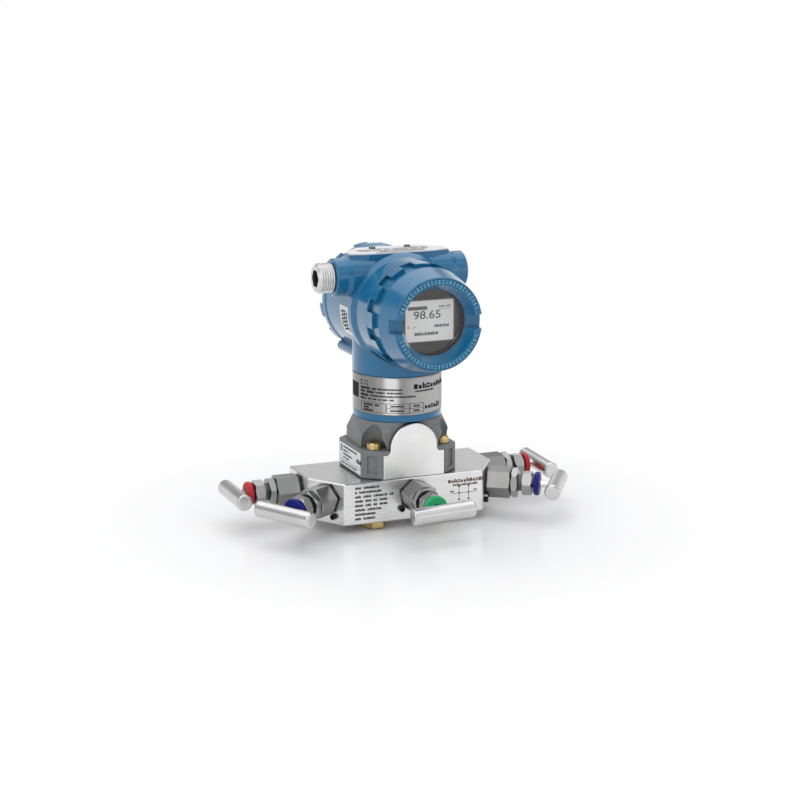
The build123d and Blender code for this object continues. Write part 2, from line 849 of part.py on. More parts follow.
# Plug in the left conduit entry
plug_face = upright((-plug_face_x, 0, boss_z), (-1, 0, 0))
plug_exposed_r = conduit_r + plug_step
with BuildPart() as conduit_plug:
    turn_profile(
        plug_face,
        [
            (0, 0),
            (0, plug_exposed_r - plug_edge),
            (-plug_edge, plug_exposed_r),
            (fitted_gap - plug_out, plug_exposed_r),
            (fitted_gap - plug_out, conduit_r - running_gap),
            (-plug_out - plug_engaged, conduit_r - running_gap),
            (-plug_out - plug_engaged, 0),
        ],
    )
    hexagon(plug_face, -plug_socket_depth, 0, plug_socket_flats, 0, Mode.SUBTRACT)
save(conduit_plug.part, "conduit_plug")

# Ground screw in the end of the lug
with BuildPart() as ground_screw:
    with BuildSketch(lug_face):
        Circle(ground_head_r)
    extrude(amount=ground_head_height)
    with BuildSketch(lug_face.offset(ground_head_height)):
        Rectangle(2 * ground_head_r, driver_slot)
    extrude(amount=-ground_head_height / 2, mode=Mode.SUBTRACT)
    with BuildSketch(lug_face):
        Circle(ground_screw_r)
    extrude(amount=-ground_screw_length)
save(ground_screw.part, "ground_screw")

# Set screw that stops the housing turning on its neck
with BuildPart() as rotation_set_screw:
    with BuildSketch(back_of_neck.offset(-seat_gap)):
        Circle(lock_r)
    extrude(amount=neck_boss_r - neck_r + 2 * seat_gap)
    hexagon(back_of_neck, -seat_gap - lock_socket, -seat_gap, lock_socket, 0, Mode.SUBTRACT)
save(rotation_set_screw.part, "rotation_set_screw")

# Electronics puck on the bulkhead and the display on its front
with BuildPart() as electronics_module:
    with BuildSketch(front_view.offset(-bulkhead_front)):
        Circle(electronics_r)
    extrude(amount=electronics_length)
    fillet(electronics_module.edges().group_by(Axis.Y)[0], 2.0)
save(electronics_module.part, "electronics_module")

with BuildPart() as display_module:
    with BuildSketch(front_view.offset(-electronics_front)):
        Circle(display_r)
    extrude(amount=electronics_front - display_front)
    chamfer(display_module.edges().group_by(Axis.Y)[0], 1.0)
    with BuildSketch(front_view.offset(-display_front)):
        Rectangle(2 * display_r, screen_height + 2 * bezel_border + 2 * bezel_bar)
        Rectangle(2 * display_r, screen_height + 2 * bezel_border, mode=Mode.SUBTRACT)
    extrude(amount=-bezel_recess, mode=Mode.SUBTRACT)
    with BuildSketch(front_view.offset(-display_front)):
        Rectangle(screen_width + 2 * fitted_gap, screen_height + 2 * fitted_gap)
    extrude(amount=screen_proud - screen_thickness, mode=Mode.SUBTRACT)
save(display_module.part, "display_module")

with BuildPart() as display_screen:
    with BuildSketch(front_view.offset(-display_front + screen_proud)):
        RectangleRounded(screen_width, screen_height, 1.0)
    extrude(amount=-screen_thickness)
save(display_screen.part, "display_screen")

# Terminal block and its screws in the rear chamber
rear_view = Plane(origin=(0, 0, axis_z), x_dir=(-1, 0, 0), z_dir=(0, 1, 0))
with BuildPart() as terminal_block:
    with BuildSketch(rear_view.offset(bulkhead_back)):
        Circle(terminal_r)
        with Locations((0, boss_z - axis_z + conduit_r)):
            Rectangle(2 * terminal_r, 4 * conduit_r, mode=Mode.SUBTRACT)
    extrude(amount=terminal_length)
    fillet(terminal_block.edges().group_by(Axis.Y)[-1], 1.5)
save(terminal_block.part, "terminal_block")

with BuildPart() as terminal_screws:
    for step in (-1, 0, 1):
        with BuildSketch(rear_view.offset(terminal_back)):
            with Locations((step * terminal_spacing, -terminal_screw_r)):
                Circle(terminal_screw_r)
        extrude(amount=terminal_screw_height)
    for step in (-1, 0, 1):
        with BuildSketch(rear_view.offset(terminal_back + terminal_screw_height)):
            with Locations((step * terminal_spacing, -terminal_screw_r)):
                Rectangle(2 * terminal_screw_r, driver_slot)
        extrude(amount=-terminal_screw_height / 3, mode=Mode.SUBTRACT)
save(terminal_screws.part, "terminal_screws")


def cover_seal(name, face_y, inward):
    """O-ring that sits between a cover's flange and the housing's seal bore."""
    middle = face_y + inward * (seal_section + seat_gap / 2)
    radius = seal_groove_r + seat_gap + seal_section
    with BuildPart() as seal:
        with BuildSketch(housing_line):
            with Locations((middle, radius)):
                Circle(seal_section)
        revolve(axis=housing_axis)
    save(seal.part, name)


# The seal's middle stands half a gap in from the housing's face
cover_seal("front_seal", barrel_front, 1)
cover_seal("rear_seal", barrel_back, -1)

# Front cover with its window rim
groove_end = barrel_front + seal_bore_depth - seat_gap
spigot_end = barrel_front + spigot_length
with BuildPart() as front_cover:
    with BuildSketch(housing_line):
        with BuildLine():
            Polyline(
                (spigot_end, cover_inner_r),
                (spigot_end, thread_r - cover_edge),
                (spigot_end - cover_edge, thread_r),
                (groove_end, thread_r),
                (groove_end, seal_groove_r),
                (flange_face, seal_groove_r),
                (flange_face, cover_r - cover_edge),
                (flange_face - cover_edge, cover_r),
                (grip_start + cover_edge, cover_r),
                (grip_start, cover_r - cover_edge),
                (grip_start, grip_root_r),
                (cone_start, grip_root_r),
                (cone_start, cone_r - cover_edge),
                (cone_start - cover_edge, cone_r),
                (rim_face + rim_edge, rim_r),
                (rim_face, rim_r - rim_edge),
                (rim_face, rim_inner_r),
                (sight_seat, sight_r),
                (sight_seat, glass_pocket_r),
                (ring_back + fitted_gap, glass_pocket_r),
                (ring_back + fitted_gap, cover_inner_r),
                close=True,
            )
        make_face()
    revolve(axis=housing_axis)
    with BuildSketch(front_view.offset(-grip_start)):
        Circle(cover_r)
        Circle(grip_root_r - cover_edge, mode=Mode.SUBTRACT)
        with PolarLocations(cover_r, grip_count, start_angle=180 / grip_count):
            Rectangle(3 * grip_root, grip_gap_width, mode=Mode.SUBTRACT)
    extrude(amount=grip_length)
    with BuildSketch(front_view.offset(-rim_face - slot_depth)):
        with Locations((-rim_r, 0), (rim_r, 0)):
            Rectangle(2 * (rim_r - sight_r), slot_width)
    extrude(amount=slot_depth, mode=Mode.SUBTRACT)
save(front_cover.part, "front_cover")

with BuildPart() as window_glass:
    with BuildSketch(front_view.offset(-sight_seat - fitted_gap)):
        Circle(glass_pocket_r - fitted_gap)
    extrude(amount=-glass_thickness)
    chamfer(window_glass.edges(), glass_edge)
save(window_glass.part, "window_glass")

with BuildPart() as window_ring:
    with BuildSketch(front_view.offset(-sight_seat - glass_thickness - fitted_gap)):
        Circle(glass_pocket_r - running_gap)
        Circle(ring_bore_r, mode=Mode.SUBTRACT)
    extrude(amount=-ring_thickness)
save(window_ring.part, "window_ring")

# Rear cover
rear_grip_start = rear_flange_face + rear_skirt
rear_grip_end = rear_grip_start + rear_grip_length
rear_cover_end = rear_grip_end + rear_dome
rear_dome_r = rear_cover_r - rear_dome_slope
rear_spigot_end = barrel_back - spigot_length
rear_groove_end = barrel_back - seal_bore_depth + seat_gap
with BuildPart() as rear_cover:
    with BuildSketch(housing_line):
        with BuildLine():
            Polyline(
                (rear_spigot_end, cover_inner_r),
                (rear_spigot_end, thread_r - cover_edge),
                (rear_spigot_end + cover_edge, thread_r),
                (rear_groove_end, thread_r),
                (rear_groove_end, seal_groove_r),
                (rear_flange_face, seal_groove_r),
                (rear_flange_face, rear_cover_flange_r),
                (rear_grip_start, rear_cover_flange_r),
                (rear_grip_start, rear_cover_r),
                (rear_grip_end + 2 * cover_edge, rear_cover_r),
                (rear_cover_end - 2 * cover_edge, rear_dome_r),
                (rear_cover_end, rear_dome_r - 2 * cover_edge),
                (rear_cover_end, 0),
                (rear_cover_end - rear_cover_wall, 0),
                (rear_cover_end - rear_cover_wall, cover_inner_r),
                close=True,
            )
        make_face()
    revolve(axis=housing_axis)
    with BuildSketch(rear_view.offset(rear_grip_start)):
        Circle(rear_flange_r)
        Circle(rear_cover_r - cover_edge, mode=Mode.SUBTRACT)
        with PolarLocations(rear_flange_r, grip_count, start_angle=3):
            Rectangle(3 * rear_grip_root, rear_grip_gap_width, mode=Mode.SUBTRACT)
    extrude(amount=rear_grip_length)
save(rear_cover.part, "rear_cover")

# Needle valves
for name, face in valve_faces.items():
    turn = hex_turn[name]

    # Bonnet: shank in the block, large hexagon, threaded neck
    with BuildPart() as bonnet:
        hexagon(face, washer_thickness, bonnet_end, bonnet_flats, turn)
        bevel_corners(face, washer_thickness, bonnet_end, bonnet_flats)
        turn_profile(
            face,
            [
                (-shank_length, 0),
                (-shank_length, valve_bore_r - fitted_gap - corner_bevel),
                (corner_bevel - shank_length, valve_bore_r - fitted_gap),
                (bonnet_end - corner_bevel, valve_bore_r - fitted_gap),
                (bonnet_end - corner_bevel, neck_thread_r),
                (neck_end, neck_thread_r),
                (neck_end, 0),
            ],
        )
        bore(face, -shank_length, packing_start, stem_r + running_gap)
        bore(face, packing_start, neck_end, packing_r + fitted_gap)
    save(bonnet.part, f"bonnet_{name}")

    # Coloured dust cap
    with BuildPart() as dust_cap:
        with BuildSketch(face.offset(cap_start)):
            Circle(cap_r)
        extrude(amount=cap_thickness)
        fillet(dust_cap.edges().filter_by(GeomType.CIRCLE), cap_edge)
        bore(face, cap_start, cap_end, stem_r + seat_gap)
    save(dust_cap.part, f"dust_cap_{name}")

    # Stem, lifted off its seat as far as in the photograph, with a socket for the tip
    lifted = face.offset(valve_lift[name])
    with BuildPart() as stem:
        with BuildSketch(lifted.offset(-stem_inner)):
            Circle(stem_r)
        extrude(amount=bar_distance + stem_inner)
        bore(lifted, -stem_inner, tip_neck_length + seat_gap - stem_inner, tip_neck_r + running_gap)
    save(stem.part, f"stem_{name}")

    # Tip that closes the seat and slides without turning
    with BuildPart() as tip:
        turn_profile(
            lifted,
            [
                (tip_point, 0),
                (tip_point, tip_point_r),
                (tip_end, tip_r),
                (-stem_inner - seat_gap, tip_r),
                (-stem_inner - seat_gap, tip_neck_r),
                (tip_neck_length - stem_inner, tip_neck_r),
                (tip_neck_length - stem_inner, 0),
            ],
        )
    save(tip.part, f"tip_{name}")

    # T-bar across the stem's outer end
    tilt = radians(bar_tilt[name])
    bar_dir = face.x_dir * cos(tilt) + Vector(0, 0, 1) * cos(tilt - radians(90))
    bar_end = lifted.origin + face.z_dir * bar_distance - bar_dir * (bar_length / 2)
    with BuildPart() as t_bar:
        with BuildSketch(Plane(origin=bar_end, x_dir=face.z_dir, z_dir=bar_dir)):
            Circle(bar_r)
        extrude(amount=bar_length)
        fillet(t_bar.edges().filter_by(GeomType.CIRCLE), bar_edge)
        bore(lifted, bar_distance - 2 * bar_r, bar_distance + fitted_gap, stem_r + running_gap)
    save(t_bar.part, f"t_bar_{name}")

# Washers under the bonnets, one group of five
with BuildPart() as valve_washers:
    for face in valve_faces.values():
        with BuildSketch(face):
            Circle(washer_r)
            Circle(valve_bore_r, mode=Mode.SUBTRACT)
        extrude(amount=washer_thickness)
save(valve_washers.part, "valve_washers")

# Lock nuts on the bonnets' necks, the nuts over the packings and the packings, in groups of five
lock_nut_solids = []
packing_nut_solids = []
packing_solids = []
for name, face in valve_faces.items():
    with BuildPart() as lock_nut:
        hexagon(face, lock_nut_start, lock_nut_end, lock_nut_flats, hex_turn[name] + lock_nut_turn)
        bevel_corners(face, lock_nut_start, lock_nut_end, lock_nut_flats, both=True)
        bore(face, lock_nut_start, lock_nut_end, neck_thread_r + running_gap)
    lock_nut_solids.append(lock_nut.part)
    with BuildPart() as packing_nut:
        hexagon(face, packing_nut_start, packing_nut_end, packing_nut_flats, hex_turn[name] + packing_nut_turn)
        bevel_corners(face, packing_nut_start, packing_nut_end, packing_nut_flats, both=True)
        bore(face, packing_nut_start, neck_end + fitted_gap, neck_thread_r + running_gap)
        bore(face, neck_end, packing_nut_end, stem_r + running_gap)
    packing_nut_solids.append(packing_nut.part)
    with BuildPart() as packing:
        with BuildSketch(face.offset(packing_start)):
            Circle(packing_r)
            Circle(stem_r + running_gap, mode=Mode.SUBTRACT)
        extrude(amount=neck_end - packing_start)
    packing_solids.append(packing.part)

with BuildPart() as lock_nuts:
    add(lock_nut_solids)
save(lock_nuts.part, "lock_nuts")

with BuildPart() as packing_nuts:
    add(packing_nut_solids)
save(packing_nuts.part, "packing_nuts")

with BuildPart() as valve_packings:
    add(packing_solids)
save(valve_packings.part, "valve_packings")
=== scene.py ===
"""Differential pressure transmitter: finishes, small details and studio on the CAD frame."""

import math

import bmesh
import bpy
from bpy.props import FloatProperty, FloatVectorProperty, IntProperty, PointerProperty, StringProperty
from mathutils import Matrix, Vector


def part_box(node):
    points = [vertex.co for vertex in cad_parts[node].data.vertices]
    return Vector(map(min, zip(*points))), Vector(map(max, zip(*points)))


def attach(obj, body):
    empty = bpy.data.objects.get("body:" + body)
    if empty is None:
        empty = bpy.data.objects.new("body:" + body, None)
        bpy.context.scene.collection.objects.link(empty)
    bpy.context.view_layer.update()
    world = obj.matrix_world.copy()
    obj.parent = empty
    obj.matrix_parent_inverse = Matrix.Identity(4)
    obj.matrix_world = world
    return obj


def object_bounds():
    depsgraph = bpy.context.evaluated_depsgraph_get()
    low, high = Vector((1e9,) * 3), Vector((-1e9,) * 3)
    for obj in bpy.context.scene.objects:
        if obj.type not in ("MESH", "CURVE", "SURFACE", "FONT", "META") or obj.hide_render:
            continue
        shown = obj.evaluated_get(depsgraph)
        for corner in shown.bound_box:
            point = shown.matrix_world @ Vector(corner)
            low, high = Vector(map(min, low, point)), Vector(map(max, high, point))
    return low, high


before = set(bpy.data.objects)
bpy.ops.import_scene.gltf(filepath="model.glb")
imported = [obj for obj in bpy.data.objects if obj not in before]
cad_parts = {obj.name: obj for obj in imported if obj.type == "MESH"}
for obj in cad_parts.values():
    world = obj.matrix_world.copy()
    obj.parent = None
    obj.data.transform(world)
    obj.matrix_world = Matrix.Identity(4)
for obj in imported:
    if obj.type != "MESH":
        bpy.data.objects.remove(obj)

bl_info = {
    "name": "Differential Pressure Transmitter",
    "version": (1, 0, 0),
    "blender": (4, 5, 0),
    "location": "View3D > Sidebar > Transmitter",
    "description": "Finishes and details of a pressure transmitter on its valve manifold",
    "category": "Object",
}

MM = 0.001
CAD_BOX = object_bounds()
UP = Vector((0, 0, 1))
FRONT = Vector((0, -1, 0))

# Places on the object, in millimetres
AXIS_Z = 161.8
BLOCK_FRONT = -36.2
BASE_SIDE = -39.8
BAND_RADIUS = 35.0
BARREL_RADIUS = 42.4
RIM_DISTANCE = 82.2
RIM_RADIUS = 32.1
PLUG_Z = 188.0
PLUG_BOSS_END = 54.7
BOLT_PLACES = ((-28.6, -22.4), (-28.6, 22.4), (28.6, -22.4), (28.6, 22.4))
VALVE_Z = 19.5

# Each valve's place on the block, and the direction that it points in
VALVES = {
    "front": (0.0, -36.2, 0.0, -1.0),
    "front_left": (-68.3, -21.55, -0.82855, -0.559907),
    "front_right": (68.3, -21.55, 0.82855, -0.559907),
    "side_left": (-78.2, 15.0, -1.0, 0.0),
    "side_right": (78.2, 15.0, 1.0, 0.0),
}

# Print that can't be read: each sign is blocks of (across, up, width, height) in shares of its size
SIGNS = {
    "n": ((0.0, -0.1, 0.9, 0.8),),
    "u": ((-0.26, 0.0, 0.42, 1.0), (0.26, -0.18, 0.42, 0.64)),
    "z": ((0.0, 0.12, 0.95, 0.30), (0.0, -0.34, 0.95, 0.32)),
    "o": ((0.0, -0.2, 0.75, 0.6),),
    "i": ((0.0, 0.0, 0.42, 1.0),),
    " ": (),
}
SIGN_PITCH = 0.80
SIGN_WIDTH = 0.74

# Heights of print and labels over their faces, and how far print reaches into them, in millimetres
PRINT_SINK = 0.02
WRAP_SINK = 0.03
SCREEN_PRINT = 0.05
TAG_PRINT = 0.06
BASE_LABEL = 0.15
BASE_PRINT = 0.2
BARREL_LABEL = 0.12
BARREL_PRINT = 0.17

# Edges that turn less than this are shaded smooth
SMOOTH_ANGLE = math.radians(35)

# Painted reflection of the nameplate band, lighter and darker around its round, from the back over the
# left, front and right
BAND_PAINTED_REFLECTION = ((0.0, 0.45), (0.12, 0.95), (0.20, 0.80), (0.25, 0.42), (0.34, 0.34), (0.38, 0.45),
               (0.405, 1.0), (0.43, 1.0), (0.455, 0.40), (0.50, 0.52), (0.60, 0.62), (0.68, 0.30),
               (0.86, 0.85), (1.0, 0.45))

# Light of the room by the height of the direction, from the horizon to straight up
ROOM_LEVELS = ((0.10, 0.62), (0.42, 0.24), (1.0, 1.0))

# What the lamps and the camera look at, in metres
LAMP_AIM = Vector((0, 0, 0.09))
AIM_RIGHT = 0.00236
AIM_UP = 0.08708


# Settings


class FinishSettings(bpy.types.PropertyGroup):
    """Colours of the finishes."""

    paint: FloatVectorProperty(
        name="Paint", description="Colour of the housing, covers and collar",
        default=(0.004, 0.140, 0.300), size=3, subtype="COLOR", min=0, max=1)
    casting: FloatVectorProperty(
        name="Casting", description="Colour of the module base",
        default=(0.20, 0.205, 0.212), size=3, subtype="COLOR", min=0, max=1)
    steel: FloatVectorProperty(
        name="Steel", description="Colour of the machined block",
        default=(0.74, 0.735, 0.73), size=3, subtype="COLOR", min=0, max=1)
    dark_steel: FloatVectorProperty(
        name="Dark steel", description="Colour of the bonnets and nuts",
        default=(0.33, 0.33, 0.325), size=3, subtype="COLOR", min=0, max=1)
    zinc: FloatVectorProperty(
        name="Yellow zinc", description="Colour of the plated bolts",
        default=(0.66, 0.50, 0.22), size=3, subtype="COLOR", min=0, max=1)
    ink: FloatVectorProperty(
        name="Ink", description="Colour of the printed and etched marks",
        default=(0.014, 0.014, 0.017), size=3, subtype="COLOR", min=0, max=1)


class DetailSettings(bpy.types.PropertyGroup):
    """Sizes of the small details."""

    tick_count: IntProperty(
        name="Rim ticks", description="Raised ticks on each half of the window rim",
        default=27, min=4, max=60)
    tick_height: FloatProperty(
        name="Tick height", description="How far the rim ticks stand proud",
        default=0.0006, min=0.0001, max=0.001, unit="LENGTH")
    mark_height: FloatProperty(
        name="Mark height", description="Thickness of printed marks and labels",
        default=0.00008, min=0.00002, max=0.0005, unit="LENGTH")
    thread_pitch: FloatProperty(
        name="Plug thread pitch", description="Distance between the plug's thread crests",
        default=0.0018, min=0.0005, max=0.003, unit="LENGTH")
    reading: StringProperty(
        name="Reading", description="Number shown on the display", default="98.65")


class StudioSettings(bpy.types.PropertyGroup):
    """Camera, lamps and floor."""

    azimuth: FloatProperty(
        name="Azimuth", description="Camera's turn about the object",
        default=math.radians(-22.46), subtype="ANGLE")
    elevation: FloatProperty(
        name="Elevation", description="Camera's height angle",
        default=math.radians(12.97), subtype="ANGLE")
    distance: FloatProperty(
        name="Distance", description="Camera's distance from its target",
        default=1.5736, min=0.5, unit="LENGTH")
    lens: FloatProperty(
        name="Lens", description="Focal length in millimetres", default=90.0, min=20)
    key_power: FloatProperty(
        name="Key lamp", description="Power of the large lamp on the upper left",
        default=11.5, min=0, unit="POWER")
    fill_power: FloatProperty(
        name="Fill lamp", description="Power of the lamp on the right",
        default=5.0, min=0, unit="POWER")
    top_power: FloatProperty(
        name="Top lamp", description="Power of the lamp overhead",
        default=19.0, min=0, unit="POWER")
    floor_radius: FloatProperty(
        name="Floor radius", description="Radius of the round floor",
        default=40.0, min=5, unit="LENGTH")


# Shader groups


def new_group(name, inputs, outputs):
    """A shader node group with its named sockets, and its two end nodes."""
    group = bpy.data.node_groups.new(name, "ShaderNodeTree")
    for label, kind, value in inputs:
        socket = group.interface.new_socket(label, in_out="INPUT", socket_type=kind)
        socket.default_value = value
    for label, kind in outputs:
        group.interface.new_socket(label, in_out="OUTPUT", socket_type=kind)
    return group, group.nodes.new("NodeGroupInput"), group.nodes.new("NodeGroupOutput")


def math_node(nodes, operation, value=None):
    """A math node, with a constant on its second input where one is given."""
    node = nodes.new("ShaderNodeMath")
    node.operation = operation
    if value is not None:
        node.inputs[1].default_value = value
    return node


def range_node(nodes, low, high, kind="LINEAR"):
    """A node that spreads the values from low to high over 0 to 1."""
    node = nodes.new("ShaderNodeMapRange")
    node.interpolation_type = kind
    node.inputs["From Min"].default_value = low
    node.inputs["From Max"].default_value = high
    return node


def mix_node(nodes, blend="MIX"):
    """A node that mixes two colours."""
    node = nodes.new("ShaderNodeMix")
    node.data_type = "RGBA"
    node.blend_type = blend
    return node


def ramp_node(nodes, stops, kind="LINEAR"):
    """A ramp of greys through stops of (place, level)."""
    node = nodes.new("ShaderNodeValToRGB")
    ramp = node.color_ramp
    ramp.interpolation = kind
    ramp.elements[0].position, ramp.elements[1].position = stops[0][0], stops[-1][0]
    for at, _ in stops[1:-1]:
        ramp.elements.new(at)
    for element, (at, level) in zip(ramp.elements, stops):
        element.position = at
        element.color = (level, level, level, 1)
    return node


def grain_group():
    """Fine grain stretched along a direction: a roughness and a height."""
    group, ends, out = new_group(
        "directional_grain",
        [("Stretch", "NodeSocketVector", (1, 1, 1)), ("Scale", "NodeSocketFloat", 400.0),
         ("Smoothest", "NodeSocketFloat", 0.2), ("Roughest", "NodeSocketFloat", 0.4)],
        [("Roughness", "NodeSocketFloat"), ("Height", "NodeSocketFloat")],
    )
    nodes, links = group.nodes, group.links
    place = nodes.new("ShaderNodeTexCoord")
    stretch = nodes.new("ShaderNodeVectorMath")
    stretch.operation = "MULTIPLY"
    fine = nodes.new("ShaderNodeTexNoise")
    fine.inputs["Detail"].default_value = 3
    broad = nodes.new("ShaderNodeTexNoise")
    broad.inputs["Scale"].default_value = 30
    broad.inputs["Detail"].default_value = 2
    blend = math_node(nodes, "MULTIPLY_ADD", 0.6)
    share = math_node(nodes, "MULTIPLY", 0.4)
    spread = range_node(nodes, 0.3, 0.7)
    links.new(place.outputs["Object"], stretch.inputs[0])
    links.new(ends.outputs["Stretch"], stretch.inputs[1])
    links.new(stretch.outputs["Vector"], fine.inputs["Vector"])
    links.new(ends.outputs["Scale"], fine.inputs["Scale"])
    links.new(place.outputs["Object"], broad.inputs["Vector"])
    links.new(broad.outputs["Fac"], share.inputs[0])
    links.new(fine.outputs["Fac"], blend.inputs[0])
    links.new(share.outputs["Value"], blend.inputs[2])
    links.new(blend.outputs["Value"], spread.inputs["Value"])
    links.new(ends.outputs["Smoothest"], spread.inputs["To Min"])
    links.new(ends.outputs["Roughest"], spread.inputs["To Max"])
    links.new(spread.outputs["Result"], out.inputs["Roughness"])
    links.new(fine.outputs["Fac"], out.inputs["Height"])
    return group


def tone_group():
    """Two tones of one colour, mixed by a soft pattern."""
    group, ends, out = new_group(
        "uneven_tone",
        [("Color", "NodeSocketColor", (0.5, 0.5, 0.5, 1)),
         ("Deeper", "NodeSocketColor", (0.4, 0.4, 0.4, 1)), ("Scale", "NodeSocketFloat", 40.0),
         ("Amount", "NodeSocketFloat", 0.5)],
        [("Color", "NodeSocketColor")],
    )
    nodes, links = group.nodes, group.links
    place = nodes.new("ShaderNodeTexCoord")
    cloud = nodes.new("ShaderNodeTexNoise")
    cloud.inputs["Detail"].default_value = 5
    sharpen = range_node(nodes, 0.35, 0.75)
    amount = math_node(nodes, "MULTIPLY")
    mix = mix_node(nodes)
    links.new(place.outputs["Object"], cloud.inputs["Vector"])
    links.new(ends.outputs["Scale"], cloud.inputs["Scale"])
    links.new(cloud.outputs["Fac"], sharpen.inputs["Value"])
    links.new(sharpen.outputs["Result"], amount.inputs[0])
    links.new(ends.outputs["Amount"], amount.inputs[1])
    links.new(amount.outputs["Value"], mix.inputs["Factor"])
    links.new(ends.outputs["Color"], mix.inputs["A"])
    links.new(ends.outputs["Deeper"], mix.inputs["B"])
    links.new(mix.outputs["Result"], out.inputs["Color"])
    return group


def edge_group():
    """Rounded edges, and painted shade in corners and recesses: a normal, an edge mask for painted edge
    light and a mask of recesses for painted shade.
    """
    group, ends, out = new_group(
        "edge_light_and_painted_shade",
        [("Radius", "NodeSocketFloat", 0.0004), ("Reach", "NodeSocketFloat", 0.004)],
        [("Normal", "NodeSocketVector"), ("Edge", "NodeSocketFloat"), ("Painted Shade", "NodeSocketFloat")],
    )
    nodes, links = group.nodes, group.links
    rounded = nodes.new("ShaderNodeBevel")
    rounded.samples = 6
    surface = nodes.new("ShaderNodeNewGeometry")
    turn = nodes.new("ShaderNodeVectorMath")
    turn.operation = "DOT_PRODUCT"
    edge = range_node(nodes, 0.995, 0.85)
    painted_shade = nodes.new("ShaderNodeAmbientOcclusion")
    painted_shade.samples = 6
    painted_shade_mask = range_node(nodes, 0.75, 0.15)
    links.new(ends.outputs["Radius"], rounded.inputs["Radius"])
    links.new(rounded.outputs["Normal"], turn.inputs[0])
    links.new(surface.outputs["Normal"], turn.inputs[1])
    links.new(turn.outputs["Value"], edge.inputs["Value"])
    links.new(ends.outputs["Reach"], painted_shade.inputs["Distance"])
    links.new(painted_shade.outputs["AO"], painted_shade_mask.inputs["Value"])
    links.new(rounded.outputs["Normal"], out.inputs["Normal"])
    links.new(edge.outputs["Result"], out.inputs["Edge"])
    links.new(painted_shade_mask.outputs["Result"], out.inputs["Painted Shade"])
    return group


# Materials

GROUPS = {}
FINISHES = {}


def shared(name):
    """The shared node group of that name, built on first use."""
    makers = {"grain": grain_group, "tone": tone_group, "edge": edge_group}
    if name not in GROUPS:
        GROUPS[name] = makers[name]()
    return GROUPS[name]


def finish(name, color, metallic, smooth, rough, scale=500.0, stretch=(1, 1, 1), bump=0.02,
           depth=0.85, tone_scale=40.0, tone=0.5, coat=0.0, specular=0.5, edge=0.0, painted_edge_light=1.35,
           painted_shade=0.0, reach=4.0):
    """A material of uneven tone and directional grain, made once for each name.

    The edge's radius and the reach of the painted shade are in millimetres. Without an edge radius,
    the edges get no painted edge light and the recesses no painted shade.
    """
    if name in FINISHES:
        return FINISHES[name]
    material = FINISHES[name] = bpy.data.materials.new("finish_" + name)
    material.use_nodes = True
    nodes, links = material.node_tree.nodes, material.node_tree.links
    shader = nodes["Principled BSDF"]
    shader.inputs["Metallic"].default_value = metallic
    shader.inputs["Coat Weight"].default_value = coat
    shader.inputs["Coat Roughness"].default_value = 0.10
    shader.inputs["Specular IOR Level"].default_value = specular
    grain = nodes.new("ShaderNodeGroup")
    grain.node_tree = shared("grain")
    grain.inputs["Stretch"].default_value = stretch
    grain.inputs["Scale"].default_value = scale
    grain.inputs["Smoothest"].default_value = smooth
    grain.inputs["Roughest"].default_value = rough
    shade = nodes.new("ShaderNodeGroup")
    shade.node_tree = shared("tone")
    shade.inputs["Color"].default_value = (*color, 1)
    shade.inputs["Deeper"].default_value = (*[c * depth for c in color], 1)
    shade.inputs["Scale"].default_value = tone_scale
    shade.inputs["Amount"].default_value = tone
    relief = nodes.new("ShaderNodeBump")
    relief.inputs["Strength"].default_value = bump
    relief.inputs["Distance"].default_value = 0.0004
    links.new(grain.outputs["Roughness"], shader.inputs["Roughness"])
    links.new(grain.outputs["Height"], relief.inputs["Height"])
    links.new(relief.outputs["Normal"], shader.inputs["Normal"])
    if not edge:
        links.new(shade.outputs["Color"], shader.inputs["Base Color"])
        return material
    form = nodes.new("ShaderNodeGroup")
    form.node_tree = shared("edge")
    form.inputs["Radius"].default_value = edge * MM
    form.inputs["Reach"].default_value = reach * MM
    links.new(form.outputs["Normal"], relief.inputs["Normal"])
    # Painted edge light: a painted highlight along the edges, lighter where painted_edge_light is over
    # 1 and darker where it is under 1.
    painted_edge_mix = mix_color(material, form.outputs["Edge"], 0.6, [min(1, c * painted_edge_light) for c in color])
    links.new(shade.outputs["Color"], painted_edge_mix.inputs["A"])
    # Painted shade: recesses and corners darkened towards 0.12 of the colour by the ambient occlusion
    # mask.
    dark = mix_color(material, form.outputs["Painted Shade"], painted_shade, [c * 0.12 for c in color])
    links.new(painted_edge_mix.outputs["Result"], dark.inputs["A"])
    links.new(dark.outputs["Result"], shader.inputs["Base Color"])
    return material


def mix_color(material, mask, amount, color):
    """A mix node that brings in a colour where a mask shows, by an amount."""
    nodes, links = material.node_tree.nodes, material.node_tree.links
    share = math_node(nodes, "MULTIPLY", amount)
    mix = mix_node(nodes)
    mix.inputs["B"].default_value = (*color, 1)
    links.new(mask, share.inputs[0])
    links.new(share.outputs["Value"], mix.inputs["Factor"])
    return mix


def paint():
    """Glossy powder coat with a slight orange peel."""
    return finish("blue_paint", scene_settings().finishes.paint, 0.0, 0.24, 0.33, 1500, bump=0.03,
                  depth=0.78, tone=0.5, coat=0.9, specular=0.15, edge=0.5, painted_edge_light=1.45, painted_shade=0.8)


def casting():
    """Matte grey cast finish."""
    return finish("grey_casting", scene_settings().finishes.casting, 0.1, 0.42, 0.60, 1400, bump=0.35,
                  depth=0.62, tone_scale=260, edge=0.9, painted_edge_light=1.5, painted_shade=0.8)


def milled(name, color, stretch=(1, 1, 1), smooth=0.22, rough=0.38, bump=0.06, scale=900,
           edge=0.3, reach=4.0):
    """Machined steel with its tool marks along one direction."""
    return finish(name, color, 1.0, smooth, rough, scale, stretch, bump, depth=0.80, tone=0.7,
                  edge=edge, painted_edge_light=1.25, painted_shade=0.9, reach=reach)


